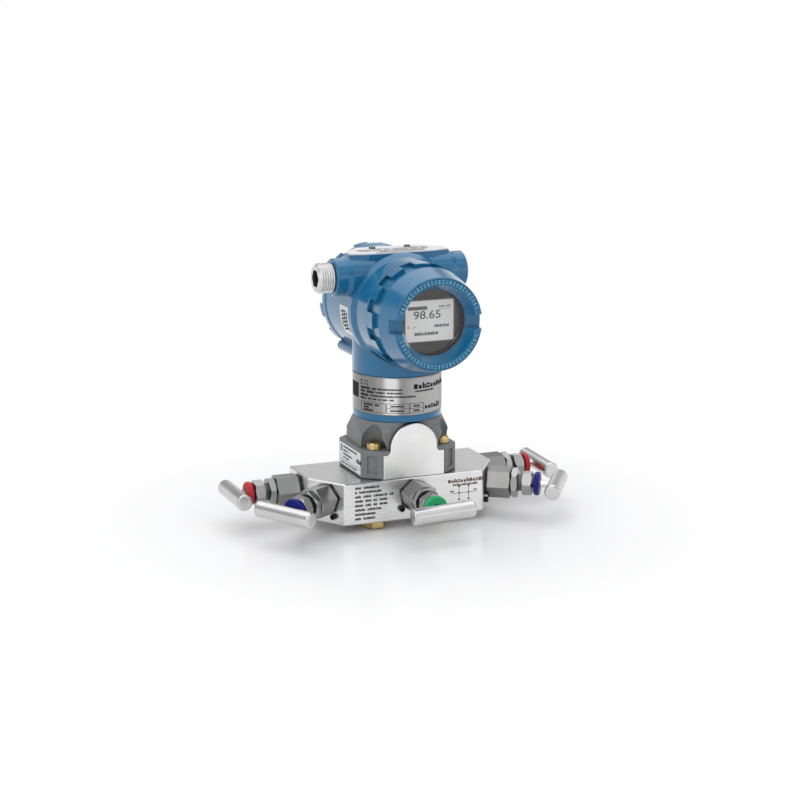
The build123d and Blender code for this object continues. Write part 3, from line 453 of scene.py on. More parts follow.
def smooth_steel(name, color, smooth, rough, edge=0.3):
    """Turned steel with a fine, even finish."""
    return milled(name, color, (1, 1, 1), smooth, rough, 0.003, 2600, edge)


def nut_steel():
    """Dark turned steel of the nuts and valve necks."""
    return smooth_steel("nut_steel", Vector(scene_settings().finishes.dark_steel) * 1.2, 0.22, 0.28)


def yellow_zinc():
    """Yellow plating of the process bolts."""
    return finish("yellow_zinc", scene_settings().finishes.zinc, 1.0, 0.20, 0.34, 500, bump=0.05,
                  depth=0.7, edge=0.3, painted_edge_light=1.4, painted_shade=0.9)


def dark_plastic():
    """Nearly black moulded plastic."""
    return finish("dark_plastic", (0.012, 0.011, 0.011), 0.0, 0.4, 0.55, 1500, bump=0.08, specular=0.2)


def etched_ink():
    """Matte black of the etched marks."""
    return finish("etched_ink", scene_settings().finishes.ink, 0.0, 0.6, 0.8, specular=0.15)


def turned_band(color):
    """Brushed sheet rolled into a band: lengthwise streaks, and a painted reflection lighter and darker
    around the round.
    """
    material = milled("band_steel", color, (0.03, 0.03, 1), 0.24, 0.40, 0.10, 1200)
    nodes, links = material.node_tree.nodes, material.node_tree.links
    shader = nodes["Principled BSDF"]
    before = shader.inputs["Base Color"].links[0].from_socket
    place = nodes.new("ShaderNodeTexCoord")
    parts = nodes.new("ShaderNodeSeparateXYZ")
    angle = math_node(nodes, "ARCTAN2")
    flip = math_node(nodes, "MULTIPLY", -1.0)
    spread = range_node(nodes, -math.pi, math.pi)
    # Painted highlights and painted shade of the band's reflection, set by the angle around the band.
    ramp = ramp_node(nodes, BAND_PAINTED_REFLECTION, "EASE")
    painted_reflection = mix_node(nodes, "MULTIPLY")
    painted_reflection.inputs["Factor"].default_value = 1.0
    links.new(place.outputs["Object"], parts.inputs["Vector"])
    links.new(parts.outputs["Y"], flip.inputs[0])
    links.new(parts.outputs["X"], angle.inputs[0])
    links.new(flip.outputs["Value"], angle.inputs[1])
    links.new(angle.outputs["Value"], spread.inputs["Value"])
    links.new(spread.outputs["Result"], ramp.inputs["Fac"])
    links.new(before, painted_reflection.inputs["A"])
    links.new(ramp.outputs["Color"], painted_reflection.inputs["B"])
    links.new(painted_reflection.outputs["Result"], shader.inputs["Base Color"])
    return material


def clear_glass():
    """Window glass that lets the lamps' light through to the display."""
    material = bpy.data.materials.new("finish_clear_glass")
    material.use_nodes = True
    nodes, links = material.node_tree.nodes, material.node_tree.links
    shader = nodes["Principled BSDF"]
    shader.inputs["Base Color"].default_value = (0.96, 0.96, 0.96, 1)
    shader.inputs["Roughness"].default_value = 0.0
    shader.inputs["IOR"].default_value = 1.48
    shader.inputs["Transmission Weight"].default_value = 1.0
    clear = nodes.new("ShaderNodeBsdfTransparent")
    ray = nodes.new("ShaderNodeLightPath")
    mix = nodes.new("ShaderNodeMixShader")
    links.new(ray.outputs["Is Shadow Ray"], mix.inputs["Fac"])
    links.new(shader.outputs["BSDF"], mix.inputs[1])
    links.new(clear.outputs["BSDF"], mix.inputs[2])
    links.new(mix.outputs["Shader"], nodes["Material Output"].inputs["Surface"])
    return material


def screen_film():
    """Grey display film with a weak glow: a back light, and painted light that brightens the film
    behind the glass.
    """
    material = finish("display_film", (0.50, 0.50, 0.505), 0.0, 0.35, 0.5, 3000, bump=0.01,
                      depth=0.95, tone_scale=90)
    shader = material.node_tree.nodes["Principled BSDF"]
    # The glow is partly painted light for the film that gets little lamp light behind the window.
    shader.inputs["Emission Color"].default_value = (0.86, 0.86, 0.86, 1)
    shader.inputs["Emission Strength"].default_value = 0.30
    return material


def looking_rays(nodes, links, glossy_share=None):
    """A mask of camera, glossy and transmission rays; a socket can weaken the glossy ones."""
    ray = nodes.new("ShaderNodeLightPath")
    glossy = ray.outputs["Is Glossy Ray"]
    if glossy_share is not None:
        weaker = math_node(nodes, "MULTIPLY")
        links.new(glossy, weaker.inputs[0])
        links.new(glossy_share, weaker.inputs[1])
        glossy = weaker.outputs["Value"]
    seen = math_node(nodes, "MAXIMUM")
    through = math_node(nodes, "MAXIMUM")
    links.new(ray.outputs["Is Camera Ray"], seen.inputs[0])
    links.new(glossy, seen.inputs[1])
    links.new(seen.outputs["Value"], through.inputs[0])
    links.new(ray.outputs["Is Transmission Ray"], through.inputs[1])
    return through.outputs["Value"]


def floor_material():
    """Pale floor that keeps the shadow near the object and is plain white further out."""
    material = bpy.data.materials.new("pale_floor")
    material.use_nodes = True
    nodes, links = material.node_tree.nodes, material.node_tree.links
    shader = nodes["Principled BSDF"]
    shader.inputs["Base Color"].default_value = (0.93, 0.93, 0.935, 1)
    shader.inputs["Roughness"].default_value = 0.22
    shader.inputs["Specular IOR Level"].default_value = 0.35
    white = nodes.new("ShaderNodeEmission")
    white.inputs["Strength"].default_value = 1.0
    place = nodes.new("ShaderNodeTexCoord")
    length = nodes.new("ShaderNodeVectorMath")
    length.operation = "LENGTH"
    fade = range_node(nodes, 0.11, 0.30, "SMOOTHSTEP")
    amount = math_node(nodes, "MULTIPLY")
    mix = nodes.new("ShaderNodeMixShader")
    links.new(place.outputs["Object"], length.inputs[0])
    links.new(length.outputs["Value"], fade.inputs["Value"])
    links.new(fade.outputs["Result"], amount.inputs[0])
    links.new(looking_rays(nodes, links), amount.inputs[1])
    links.new(amount.outputs["Value"], mix.inputs["Fac"])
    links.new(shader.outputs["BSDF"], mix.inputs[1])
    links.new(white.outputs["Emission"], mix.inputs[2])
    links.new(mix.outputs["Shader"], nodes["Material Output"].inputs["Surface"])
    return material


def scene_settings():
    """The settings of the scene that is being dressed."""
    return bpy.context.scene.transmitter


# Mesh helpers


def add_piece(name, bm, body, material):
    """Turn a bmesh into a piece that rides on a body and takes the given finish."""
    bmesh.ops.recalc_face_normals(bm, faces=bm.faces)
    mesh = bpy.data.meshes.new(name)
    bm.to_mesh(mesh)
    bm.free()
    mesh.shade_smooth()
    mesh.set_sharp_from_angle(angle=SMOOTH_ANGLE)
    piece = bpy.data.objects.new(name, mesh)
    bpy.context.scene.collection.objects.link(piece)
    mesh.materials.append(material)
    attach(piece, body)


def place_on(origin, outward):
    """Matrix of a face: x to the right seen from outside, y up, z outward; origin in millimetres."""
    out = Vector(outward).normalized()
    side = UP.cross(out) if abs(out.z) < 0.9 else Vector((1, 0, 0))
    side.normalize()
    up = out.cross(side)
    turned = Matrix((side, up, out)).transposed().to_4x4()
    return Matrix.Translation(Vector(origin) * MM) @ turned


def add_block(bm, face, x, y, width, height, thick, sink=0.0, turn=0.0):
    """A thin block on a face, centred at x, y, in millimetres."""
    place = face @ Matrix.Translation(Vector((x, y, (thick - sink) / 2)) * MM)
    shape = Matrix.Diagonal((width * MM, height * MM, (thick + sink) * MM, 1))
    bmesh.ops.create_cube(bm, size=1, matrix=place @ Matrix.Rotation(turn, 4, "Z") @ shape)


def soften(bm, offset, segments=2):
    """Bevel every edge, by an offset in metres."""
    bmesh.ops.bevel(bm, geom=bm.edges[:], offset=offset, segments=segments, profile=0.5,
                    affect="EDGES", material=-1)


def add_lathe(bm, profile, origin, axis, across, steps=96, turn=2 * math.pi, start=0.0):
    """Spin a closed profile of (distance along the axis, radius) points, in millimetres."""
    centre, axis = Vector(origin) * MM, Vector(axis).normalized()
    across = Matrix.Rotation(start, 3, axis) @ Vector(across).normalized()
    verts = [bm.verts.new(centre + (axis * d + across * r) * MM) for d, r in profile]
    whole = abs(turn - 2 * math.pi) < 1e-6
    if whole:
        edges = [bm.edges.new((a, b)) for a, b in zip(verts, verts[1:] + verts[:1])]
        bmesh.ops.spin(bm, geom=verts + edges, cent=centre, axis=axis, angle=turn, steps=steps,
                       use_merge=True)
        return
    cap = bm.faces.new(verts)
    bmesh.ops.spin(bm, geom=[cap], cent=centre, axis=axis, angle=turn, steps=steps, use_merge=False)
    ends = [e for e in bm.edges if e.is_boundary]
    if ends:
        bmesh.ops.holes_fill(bm, edges=ends, sides=0)


def thread_profile(start, end, root, crest, pitch):
    """Closed profile of thread ridges between two distances along an axis."""
    count = max(1, int((end - start) / pitch))
    step = (end - start) / count
    points = [(start, root)]
    for i in range(count):
        at = start + i * step
        points += [(at + 0.4 * step, crest), (at + 0.6 * step, crest)]
        if i < count - 1:
            points.append((at + step, root))
    points += [(end, root), (end, root - 0.4), (start, root - 0.4)]
    return points


def print_row(bm, face, x, y, pattern, size, thick):
    """A line of small print without letters, from a point on a face, in millimetres."""
    for i, sign in enumerate(pattern):
        middle = x + (i + 0.5) * size * SIGN_PITCH
        wide = size * SIGN_WIDTH
        for across, up, width, height in SIGNS[sign]:
            add_block(bm, face, middle + across * wide, y + up * size, width * wide, height * size,
                      thick, PRINT_SINK)


def wrap_patch(bm, axis, radius, start, width, low, high, thick):
    """A thin patch wrapped on a cylinder: from an angle in degrees, of a width along the round."""
    origin, along, zero = axis
    inner, outer = radius - WRAP_SINK, radius + thick
    profile = [(low, inner), (low, outer), (high, outer), (high, inner)]
    steps = max(2, int(width / 1.5))
    add_lathe(bm, profile, origin, along, zero, steps, width / radius, math.radians(start))


def wrap_row(bm, axis, radius, start, at, pattern, size, thick):
    """A line of small print without letters, wrapped on a cylinder from an angle in degrees."""
    degree = math.degrees(1 / radius)
    for i, sign in enumerate(pattern):
        wide = size * SIGN_WIDTH
        for across, up, width, height in SIGNS[sign]:
            left = (i + 0.5) * size * SIGN_PITCH + (across - width / 2) * wide
            low = at + (up - height / 2) * size
            wrap_patch(bm, axis, radius, start + left * degree, width * wide, low,
                       low + height * size, thick)


# Operators


class DressNodes(bpy.types.Operator):
    """Give each CAD node its finish"""

    bl_idname = "transmitter.dress_nodes"
    bl_label = "Finishes of the CAD nodes"

    def execute(self, context):
        colors = scene_settings().finishes
        steel, dark = Vector(colors.steel), Vector(colors.dark_steel)
        looks = {
            "manifold_block": milled("block_steel", steel * 1.06, (0.04, 1, 1), 0.20, 0.36),
            "pressure_block": milled("arch_steel", steel * 1.12, (1, 1, 0.05), 0.26, 0.42, 0.04),
            "sensor_module": milled("module_steel", steel * 0.9, (0.05, 0.05, 1)),
            "nameplate_band": turned_band(steel),
            "process_bolts": yellow_zinc(),
            "lock_nuts": nut_steel(),
            "packing_nuts": nut_steel(),
            "module_base": casting(),
            "tag_plate": finish("tag_paint", (0.78, 0.78, 0.79), 0.25, 0.3, 0.45, 300, bump=0.03,
                                edge=0.2, painted_edge_light=0.6),
            "tag_screws": milled("dark_screw", dark * 0.35),
            # The long reach deepens the painted shade inside the plug's hex socket.
            "conduit_plug": milled("plug_steel", steel * 0.9, (1, 0.2, 0.2), 0.25, 0.4, reach=14.0),
            "display_module": dark_plastic(),
            "electronics_module": dark_plastic(),
            "terminal_block": dark_plastic(),
            "display_screen": screen_film(),
            "window_glass": clear_glass(),
            "valve_packings": finish("white_plastic", (0.75, 0.75, 0.73), 0.0, 0.35, 0.5, 1500),
            "lock_screws": finish("black_oxide", (0.02, 0.02, 0.022), 0.8, 0.3, 0.45, 600),
        }
        for name in ("housing_body", "front_cover", "rear_cover", "module_collar"):
            looks[name] = paint()
        for name in ("valve_washers", "front_seal", "rear_seal", "block_gaskets"):
            looks[name] = finish("black_rubber", (0.015, 0.015, 0.016), 0.0, 0.5, 0.7, 1200, bump=0.1)
        for valve in VALVES:
            looks["bonnet_" + valve] = smooth_steel("bonnet_steel", dark, 0.24, 0.32)
            looks["stem_" + valve] = smooth_steel("stem_steel", steel, 0.14, 0.2)
            looks["t_bar_" + valve] = smooth_steel("bar_steel", steel * 0.85, 0.23, 0.28, edge=0.0)
        caps = {
            "cap_green": ((0.034, 0.44, 0.175), ("front",)),
            "cap_blue": ((0.004, 0.007, 0.20), ("front_left", "front_right")),
            "cap_red": ((0.54, 0.026, 0.026), ("side_left", "side_right")),
        }
        for name, (color, places) in caps.items():
            for valve in places:
                looks["dust_cap_" + valve] = finish(name, color, 0.0, 0.3, 0.42, 900, bump=0.06,
                                                    specular=0.25, edge=0.4, painted_edge_light=1.5, painted_shade=0.6)
        for name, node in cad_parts.items():
            look = looks.get(name) or milled("screw_steel", steel)
            node.data.materials.clear()
            node.data.materials.append(look)
        return {"FINISHED"}


class RimTicks(bpy.types.Operator):
    """Raise generic ticks on the window rim, lighter by rubbed paint and a painted highlight, over a
    painted shade
    """

    bl_idname = "transmitter.rim_ticks"
    bl_label = "Window rim ticks"

    def execute(self, context):
        sizes = scene_settings().details
        height = sizes.tick_height / MM
        bm = bmesh.new()
        face = place_on((0, -RIM_DISTANCE, AXIS_Z), FRONT)
        span = math.radians(140)
        shapes = (
            ((1.0, 0, 1.3, 1.7), (-1.0, 0, 1.3, 1.7)),
            ((0, 0, 3.3, 1.5),),
            ((0, -0.65, 3.3, 0.7), (0, 0.65, 3.3, 0.7)),
        )
        for middle in (math.pi / 2, -math.pi / 2):
            for i in range(sizes.tick_count):
                angle = middle + span * (i / (sizes.tick_count - 1) - 0.5)
                turned = face @ Matrix.Rotation(angle, 4, "Z")
                for out, side, length, width in shapes[i % 3]:
                    add_block(bm, turned, RIM_RADIUS + out, side, length, width, height, sink=0.2)
        soften(bm, 0.00014)
        color = Vector(scene_settings().finishes.paint)
        # The ticks' lighter paint is partly rubbed paint and partly a painted highlight on their raised
        # faces.
        tick_wear_and_highlight = finish("tick_paint_wear_and_highlight", color * 1.25 + Vector((0.085, 0.16, 0.14)), 0.0, 0.28, 0.4, 900,
                        bump=0.08, coat=0.2)
        add_piece("rim_ticks", bm, "front_cap", tick_wear_and_highlight)
        # A thin darker sheet on the rim between the ticks: painted shade.
        bm = bmesh.new()
        for middle in (0, 180):
            start = math.radians(middle - 72)
            for inner, outer, thick in ((29.9, 34.3, 0.05), (34.3, 34.6, 0.35)):
                back, top = RIM_DISTANCE - 0.1, RIM_DISTANCE + thick
                profile = [(back, inner), (top, inner), (top, outer), (back, outer)]
                add_lathe(bm, profile, (0, 0, AXIS_Z), FRONT, UP, 72, math.radians(144), start)
        add_piece("rim_painted_shade", bm, "front_cap",
                  finish("painted_rim_shade", color * 0.72, 0.0, 0.35, 0.5, 900, bump=0.08))
        return {"FINISHED"}


class Display(bpy.types.Operator):
    """Make the display's frame, header bar, reading and small marks"""

    bl_idname = "transmitter.display"
    bl_label = "Display"

    def execute(self, context):
        sizes = scene_settings().details
        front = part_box("display_screen")[0][1] / MM
        face = place_on((0, front, AXIS_Z), FRONT)
        ink = finish("screen_ink", (0.035, 0.037, 0.04), 0.0, 0.4, 0.5)
        grey = finish("screen_grey", (0.075, 0.077, 0.08), 0.0, 0.4, 0.5)
        bm = bmesh.new()
        add_block(bm, face, -9.9, 9.9, 15.8, 2.7, SCREEN_PRINT, PRINT_SINK)
        print_row(bm, face, 7.6, 10.6, "nzun nun", 1.5, SCREEN_PRINT)
        add_block(bm, face, 12.4, 8.6, 9.8, 0.3, SCREEN_PRINT, PRINT_SINK)
        add_piece("screen_header", bm, "housing", grey)
        bm = bmesh.new()
        print_row(bm, face, 3.9, -4.0, "nunzun", 2.5, SCREEN_PRINT)
        print_row(bm, face, -12.4, -9.5, "nnuzunnun", 2.7, SCREEN_PRINT)
        add_block(bm, face, -17.4, -4.1, 0.6, 2.4, SCREEN_PRINT, PRINT_SINK)
        add_block(bm, face, -12.4, -4.6, 2.2, 0.5, SCREEN_PRINT, PRINT_SINK, math.radians(35))
        add_piece("screen_marks", bm, "housing", ink)
        curve = bpy.data.curves.new("reading", "FONT")
        curve.body = sizes.reading
        curve.size = 8.6 * MM
        curve.align_x = "CENTER"
        curve.align_y = "CENTER"
        curve.extrude = 0.03 * MM
        curve.offset = 0.06 * MM
        holder = bpy.data.objects.new("reading_source", curve)
        bpy.context.scene.collection.objects.link(holder)
        bpy.context.view_layer.update()
        mesh = bpy.data.meshes.new_from_object(holder)
        bpy.data.objects.remove(holder)
        bm = bmesh.new()
        bm.from_mesh(mesh)
        bmesh.ops.remove_doubles(bm, verts=bm.verts, dist=0.000002)
        place = Matrix.Translation(Vector((-1.9, 4.3, 0.03)) * MM)
        bm.transform(face @ place @ Matrix.Diagonal((1.2, 1, 1, 1)))
        add_piece("screen_reading", bm, "housing", ink)
        bm = bmesh.new()
        for y in (-15.9, 15.9):
            add_block(bm, face, 0, y, 41.0, 0.8, 0.3, sink=0.6)
        for x in (-20.1, 20.1):
            add_block(bm, face, x, 0, 0.8, 32.6, 0.3, sink=0.6)
        soften(bm, 0.0001)
        add_piece("screen_frame", bm, "housing",
                  finish("frame_plastic", (0.10, 0.10, 0.10), 0.0, 0.3, 0.45))
        return {"FINISHED"}


class BandMarks(bpy.types.Operator):
    """Etch rows of generic marks and a frame on the nameplate band"""

    bl_idname = "transmitter.band_marks"
    bl_label = "Nameplate marks"

    def execute(self, context):
        thick = scene_settings().details.mark_height / MM
        radius = BAND_RADIUS
        axis = ((0, 0, 0), UP, FRONT)
        bm = bmesh.new()
        for at, size, start, pattern in (
            (108.4, 1.7, -76, "no i u"), (105.9, 1.7, -76, "no i u"),
            (103.0, 2.2, -76, "nnunun nn"), (103.0, 1.7, -49, "znuznnuznnunznu"),
            (100.3, 2.2, -76, "nun nnun"), (100.3, 1.7, -51, "uznnuz nznuznnuu"),
            (97.5, 2.2, -76, "nnunn"), (97.5, 1.6, -59, "zuznnuznnzuznnuznzunnzuznnuzn"),
            (94.8, 2.2, -76, "nun"), (94.8, 1.6, -66, "z nu znn uz nnu znu"),
        ):
            wrap_row(bm, axis, radius, start, at, pattern, size, thick)
        wrap_row(bm, axis, radius, -1, 105.4, "nouzoonouo", 4.8, thick)
        wrap_row(bm, axis, radius, 1, 101.3, "znuznuznnuznzun", 1.5, thick)
        wrap_patch(bm, axis, radius, -102, 13.0, 93.6, 105.4, thick)
        for start, width, rows in (
            (-75, 23.0, ((90.2, "nunnunz nun"), (88.0, "nnun"), (85.9, "unnunnu"))),
            (-36, 18.0, ((90.0, "znunnunn"), (86.4, "nnunnunn"))),
            (-6.2, 12.0, ((90.0, "nunn"), (86.4, "nnun"))),
        ):
            for low in (84.3, 91.6):
                wrap_patch(bm, axis, radius, start, width, low, low + 0.3, thick)
            for side in (start, start + math.degrees(width / radius)):
                wrap_patch(bm, axis, radius, side, 0.35, 84.3, 91.9, thick)
            for at, pattern in rows:
                wrap_row(bm, axis, radius, start + 5, at, pattern, 1.7, thick)
        wrap_patch(bm, axis, radius, -36, 30.0, 87.9, 88.2, thick)
        wrap_row(bm, axis, radius, 15, 88.6, "oozoin", 4.0, thick)
        wrap_row(bm, axis, radius, 34, 87.0, "znuz", 1.6, thick)
        add_piece("band_marks", bm, "base", etched_ink())
        return {"FINISHED"}


class BlockMarks(bpy.types.Operator):
    """Etch generic rows and a small line diagram on the front of the block"""

    bl_idname = "transmitter.block_marks"
    bl_label = "Block marks"

    def execute(self, context):
        thick = scene_settings().details.mark_height / MM
        ink = etched_ink()
        face = place_on((0, BLOCK_FRONT, 0), FRONT)
        bm = bmesh.new()
        rows = ("nun znunnuzn", "n unnznnunznn", "nnu znuu znunuzn un", "nnnu nun nz unnu",
                "nunn znu nu nunn", "nnunu znunzun", "nzunnznunn", "nnu uznnnz")
        for i, pattern in enumerate(rows):
            print_row(bm, face, -49.8, 29.3 - 3.5 * i, pattern, 2.1, thick)
        add_piece("block_rows", bm, "base", ink)
        bm = bmesh.new()
        print_row(bm, face, 28.1, 26.9, "nouzoounoznu", 3.3, thick)
        print_row(bm, face, 32.4, 23.6, "nouoonzouonu", 2.2, thick)
        brown = finish("brown_ink", (0.13, 0.055, 0.03), 0.1, 0.5, 0.7)
        add_piece("block_title", bm, "base", brown)
        bm = bmesh.new()
        add_block(bm, face, 42.0, 16.6, 23.0, 0.35, thick, PRINT_SINK)
        for x in (37.8, 46.0):
            add_block(bm, face, x, 16.6, 0.35, 9.4, thick, PRINT_SINK)
            for y in (11.2, 16.6, 22.0):
                add_block(bm, face, x, y, 1.4, 1.4, thick, PRINT_SINK, math.pi / 4)
        print_row(bm, face, 30.0, 18.4, "nun", 1.3, thick)
        print_row(bm, face, 50.2, 18.4, "unz", 1.3, thick)
        print_row(bm, face, 39.6, 9.2, "nuzn", 1.3, thick)
        add_piece("block_diagram", bm, "base", ink)
        return {"FINISHED"}


class Labels(bpy.types.Operator):
    """Stick plain labels with generic print on the base, the barrel and the tag"""

    bl_idname = "transmitter.labels"
    bl_label = "Labels"

    def execute(self, context):
        white = finish("white_label", (0.80, 0.81, 0.82), 0.0, 0.35, 0.5, 300, bump=0.01, depth=0.95)
        ink = finish("label_ink", (0.02, 0.02, 0.023), 0.0, 0.5, 0.65, specular=0.2)
        face = place_on((BASE_SIDE, 0, 0), (-1, 0, 0))
        bm = bmesh.new()
        add_block(bm, face, 0, 44.0, 45.0, 17.5, BASE_LABEL, sink=0.05)
        soften(bm, 0.00005, 1)
        add_piece("base_label", bm, "base", white)
        bm = bmesh.new()
        for x, width in ((-19.4, 0.8), (-18.2, 0.5), (-17.2, 0.9)):
            add_block(bm, face, x, 48.6, width, 5.6, BASE_PRINT)
        rows = ("nznunnzunnznunnzunnzun", "nnuznnz  n", "znunnuznunnzun", "nnz nuznn")
        for i, pattern in enumerate(rows):
            print_row(bm, face, -14.6, 50.6 - 2.9 * i, pattern, 1.7, BASE_PRINT)
        print_row(bm, face, 14.0, 45.4, "nun", 4.0, BASE_PRINT)
        add_block(bm, face, 0, 39.4, 42.0, 0.35, BASE_PRINT)
        print_row(bm, face, -19.6, 37.4, "znunnuzn nnuzn nzun nuznnznu", 1.5, BASE_PRINT)
        add_piece("base_label_print", bm, "base", ink)
        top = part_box("tag_plate")[1][2] / MM
        plate = place_on((0, 0, top), UP)
        bm = bmesh.new()
        print_row(bm, plate, -15.6, -2.2, "nunnzunnunnznunnunnu", 2.4, TAG_PRINT)
        print_row(bm, plate, -20.0, -5.6, "znunnuznnzunnznunnuznnzunnznun", 1.7, TAG_PRINT)
        print_row(bm, plate, -30.0, 2.0, "nuznnuznnuznnuz nnuznzunnuznnuznnuzn", 2.0, TAG_PRINT)
        for at in (6.0, 9.4):
            print_row(bm, plate, -31.0, at, "znunnuzn nnuzn nzun nuznnznu nnuzn znun", 1.9, TAG_PRINT)
        for start in (-9.0, 19.5):
            add_block(bm, plate, start, 12.6, 9.0, 0.4, TAG_PRINT)
        add_piece("tag_print", bm, "housing", ink)
        axis = ((0, 0, AXIS_Z), FRONT, UP)
        bm = bmesh.new()
        wrap_patch(bm, axis, BARREL_RADIUS, 86.5, 23.4, -13.4, 4.4, BARREL_LABEL)
        add_piece("barrel_label", bm, "housing", white)
        bm = bmesh.new()
        for i in range(16):
            for j in range(11):
                if (i * i * 3 + j * j * 5 + i * j * 7) % 11 < 5:
                    start, low = 90.6 + i * 1.45, -11.0 + j * 1.15
                    wrap_patch(bm, axis, BARREL_RADIUS, start, 1.0, low, low + 1.1, BARREL_PRINT)
        add_piece("barrel_label_print", bm, "housing", ink)
        return {"FINISHED"}


class Threads(bpy.types.Operator):
    """Cut thread ridges on the plug, the bolt ends and the valve necks"""

    bl_idname = "transmitter.threads"
    bl_label = "Threads"

    def execute(self, context):
        steel = Vector(scene_settings().finishes.steel)
        pitch = scene_settings().details.thread_pitch / MM
        bm = bmesh.new()
        end = -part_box("conduit_plug")[0][0] / MM - 1.4
        ridges = thread_profile(PLUG_BOSS_END, end, 10.9, 11.6, pitch)
        add_lathe(bm, ridges, (0, 0, PLUG_Z), (-1, 0, 0), UP, 72)
        add_piece("plug_thread", bm, "housing", milled("plug_thread_steel", steel * 0.9))
        bm = bmesh.new()
        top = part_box("process_bolts")[1][2] / MM
        ridges = thread_profile(top - 5.2, top - 1.8, 5.4, 5.62, 0.85)
        for x, y in BOLT_PLACES:
            add_lathe(bm, ridges, (x, y, 0), UP, FRONT, 48)
        add_piece("bolt_threads", bm, "base", yellow_zinc())
        bm = bmesh.new()
        ridges = thread_profile(25.9, 28.9, 6.2, 6.7, 0.75)
        for x, y, dx, dy in VALVES.values():
            add_lathe(bm, ridges, (x, y, VALVE_Z), (dx, dy, 0), UP, 48)
        add_piece("neck_threads", bm, "base", nut_steel())
        return {"FINISHED"}


class Studio(bpy.types.Operator):
    """Set the floor, the lamps, the world and the camera"""

    bl_idname = "transmitter.studio"
    bl_label = "Studio"

    def execute(self, context):
        studio = scene_settings().studio
        bpy.context.scene.view_settings.view_transform = "Standard"
        add_floor(studio)
        add_lamps(studio)
        set_world()
        add_camera(studio)
        return {"FINISHED"}


# Floor, lamps, world and camera


def add_floor(studio):
    """A round floor just under the object."""
    bm = bmesh.new()
    bmesh.ops.create_circle(bm, cap_ends=True, segments=96, radius=studio.floor_radius)
    bmesh.ops.translate(bm, verts=bm.verts, vec=(0, 0, CAD_BOX[0][2] - 0.0002))
    mesh = bpy.data.meshes.new("floor")
    bm.to_mesh(mesh)
    bm.free()
    floor = bpy.data.objects.new("floor", mesh)
    bpy.context.scene.collection.objects.link(floor)
    mesh.materials.append(floor_material())


def add_lamps(studio):
    """Three large round lamps, upper left, right and overhead."""
    lamps = (
        ("key_lamp", (-1.3, -0.9, 1.2), 2.0, studio.key_power),
        ("fill_lamp", (1.0, -1.2, 0.8), 1.9, studio.fill_power),
        ("top_lamp", (0.1, 0.6, 1.7), 3.0, studio.top_power),
    )
    for name, place, size, power in lamps:
        light = bpy.data.lights.new(name, "AREA")
        light.shape = "DISK"
        light.size = size
        light.energy = power
        lamp = bpy.data.objects.new(name, light)
        lamp.location = place
        lamp.rotation_euler = (LAMP_AIM - Vector(place)).to_track_quat("-Z", "Y").to_euler()
        bpy.context.scene.collection.objects.link(lamp)


def set_world():
    """A grey room that lights the object, and white where the camera or low reflections look."""
    world = bpy.data.worlds.new("studio_world")
    bpy.context.scene.world = world
    world.use_nodes = True
    nodes, links = world.node_tree.nodes, world.node_tree.links
    room = nodes["Background"]
    room.inputs["Color"].default_value = (0.98, 0.985, 1.0, 1)
    pale = nodes.new("ShaderNodeBackground")
    pale.inputs["Color"].default_value = (1, 1, 1, 1)
    pale.inputs["Strength"].default_value = 1.0
    place = nodes.new("ShaderNodeTexCoord")
    parts = nodes.new("ShaderNodeSeparateXYZ")
    level = ramp_node(nodes, ROOM_LEVELS)
    low = range_node(nodes, 0.38, 0.10, "SMOOTHSTEP")
    mix = nodes.new("ShaderNodeMixShader")
    links.new(place.outputs["Generated"], parts.inputs["Vector"])
    links.new(parts.outputs["Z"], level.inputs["Fac"])
    links.new(level.outputs["Color"], room.inputs["Strength"])
    links.new(parts.outputs["Z"], low.inputs["Value"])
    links.new(looking_rays(nodes, links, low.outputs["Result"]), mix.inputs["Fac"])
    links.new(room.outputs["Background"], mix.inputs[1])
    links.new(pale.outputs["Background"], mix.inputs[2])
    links.new(mix.outputs["Shader"], nodes["World Output"].inputs["Surface"])


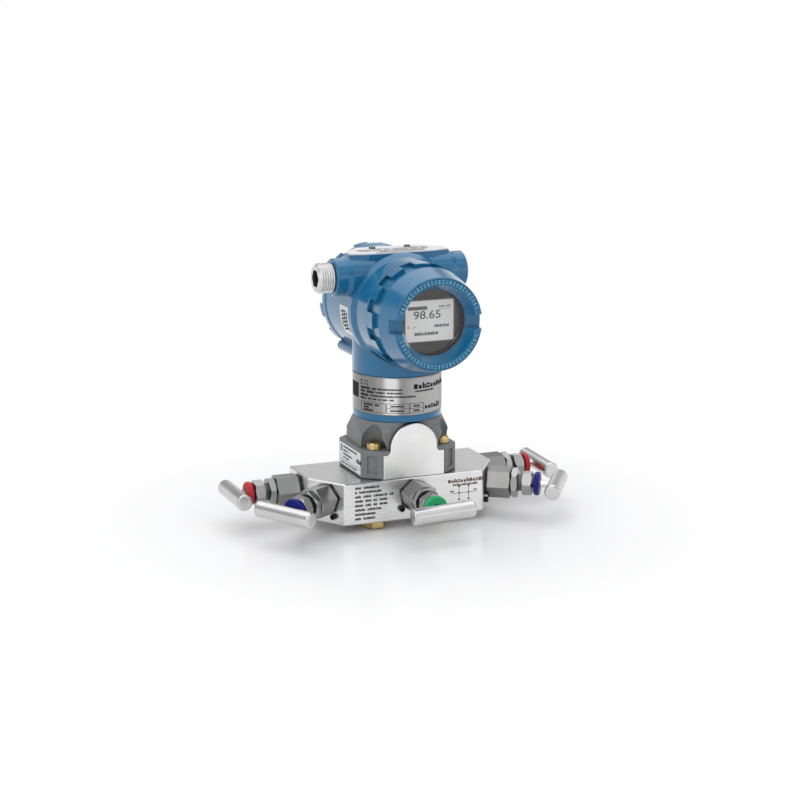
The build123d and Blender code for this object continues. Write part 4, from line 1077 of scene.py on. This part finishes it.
def add_camera(studio):
    """The camera on its azimuth and elevation, aimed at the object's middle."""
    azimuth, elevation = studio.azimuth, studio.elevation
    right = Vector((math.cos(azimuth), math.sin(azimuth), 0))
    back = Vector((math.sin(azimuth) * math.cos(elevation), -math.cos(azimuth) * math.cos(elevation),
                   math.sin(elevation)))
    target = right * AIM_RIGHT + UP * AIM_UP
    data = bpy.data.cameras.new("camera")
    data.lens = studio.lens
    data.sensor_width = 36
    data.clip_end = 100
    camera = bpy.data.objects.new("camera", data)
    camera.location = target + back * studio.distance
    camera.rotation_euler = (-back).to_track_quat("-Z", "Y").to_euler()
    bpy.context.scene.collection.objects.link(camera)
    bpy.context.scene.camera = camera


# Add-on


class SceneSettings(bpy.types.PropertyGroup):
    """All settings of the transmitter scene."""

    finishes: PointerProperty(
        type=FinishSettings, name="Finishes", description="Colours of the finishes")
    details: PointerProperty(
        type=DetailSettings, name="Details", description="Sizes of the small details")
    studio: PointerProperty(
        type=StudioSettings, name="Studio", description="Camera, lamps and floor")


OPERATORS = (DressNodes, RimTicks, Display, BandMarks, BlockMarks, Labels, Threads, Studio)


class TransmitterPanel(bpy.types.Panel):
    """Buttons and settings of the transmitter"""

    bl_idname = "VIEW3D_PT_transmitter"
    bl_label = "Transmitter"
    bl_space_type = "VIEW_3D"
    bl_region_type = "UI"
    bl_category = "Transmitter"

    def draw(self, context):
        layout = self.layout
        for operator in OPERATORS:
            layout.operator(operator.bl_idname)
        settings = context.scene.transmitter
        for group in (settings.finishes, settings.details, settings.studio):
            box = layout.box()
            for name in group.__annotations__:
                box.prop(group, name)


CLASSES = (FinishSettings, DetailSettings, StudioSettings, SceneSettings, *OPERATORS, TransmitterPanel)


def register():
    """Register the classes and the scene's settings."""
    for cls in CLASSES:
        bpy.utils.register_class(cls)
    bpy.types.Scene.transmitter = PointerProperty(type=SceneSettings)


def unregister():
    """Remove the settings and the classes."""
    del bpy.types.Scene.transmitter
    for cls in reversed(CLASSES):
        bpy.utils.unregister_class(cls)


def main():
    """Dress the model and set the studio."""
    register()
    for operator in OPERATORS:
        space, name = operator.bl_idname.split(".")
        getattr(getattr(bpy.ops, space), name)()


if __name__ == "__main__":
    main()
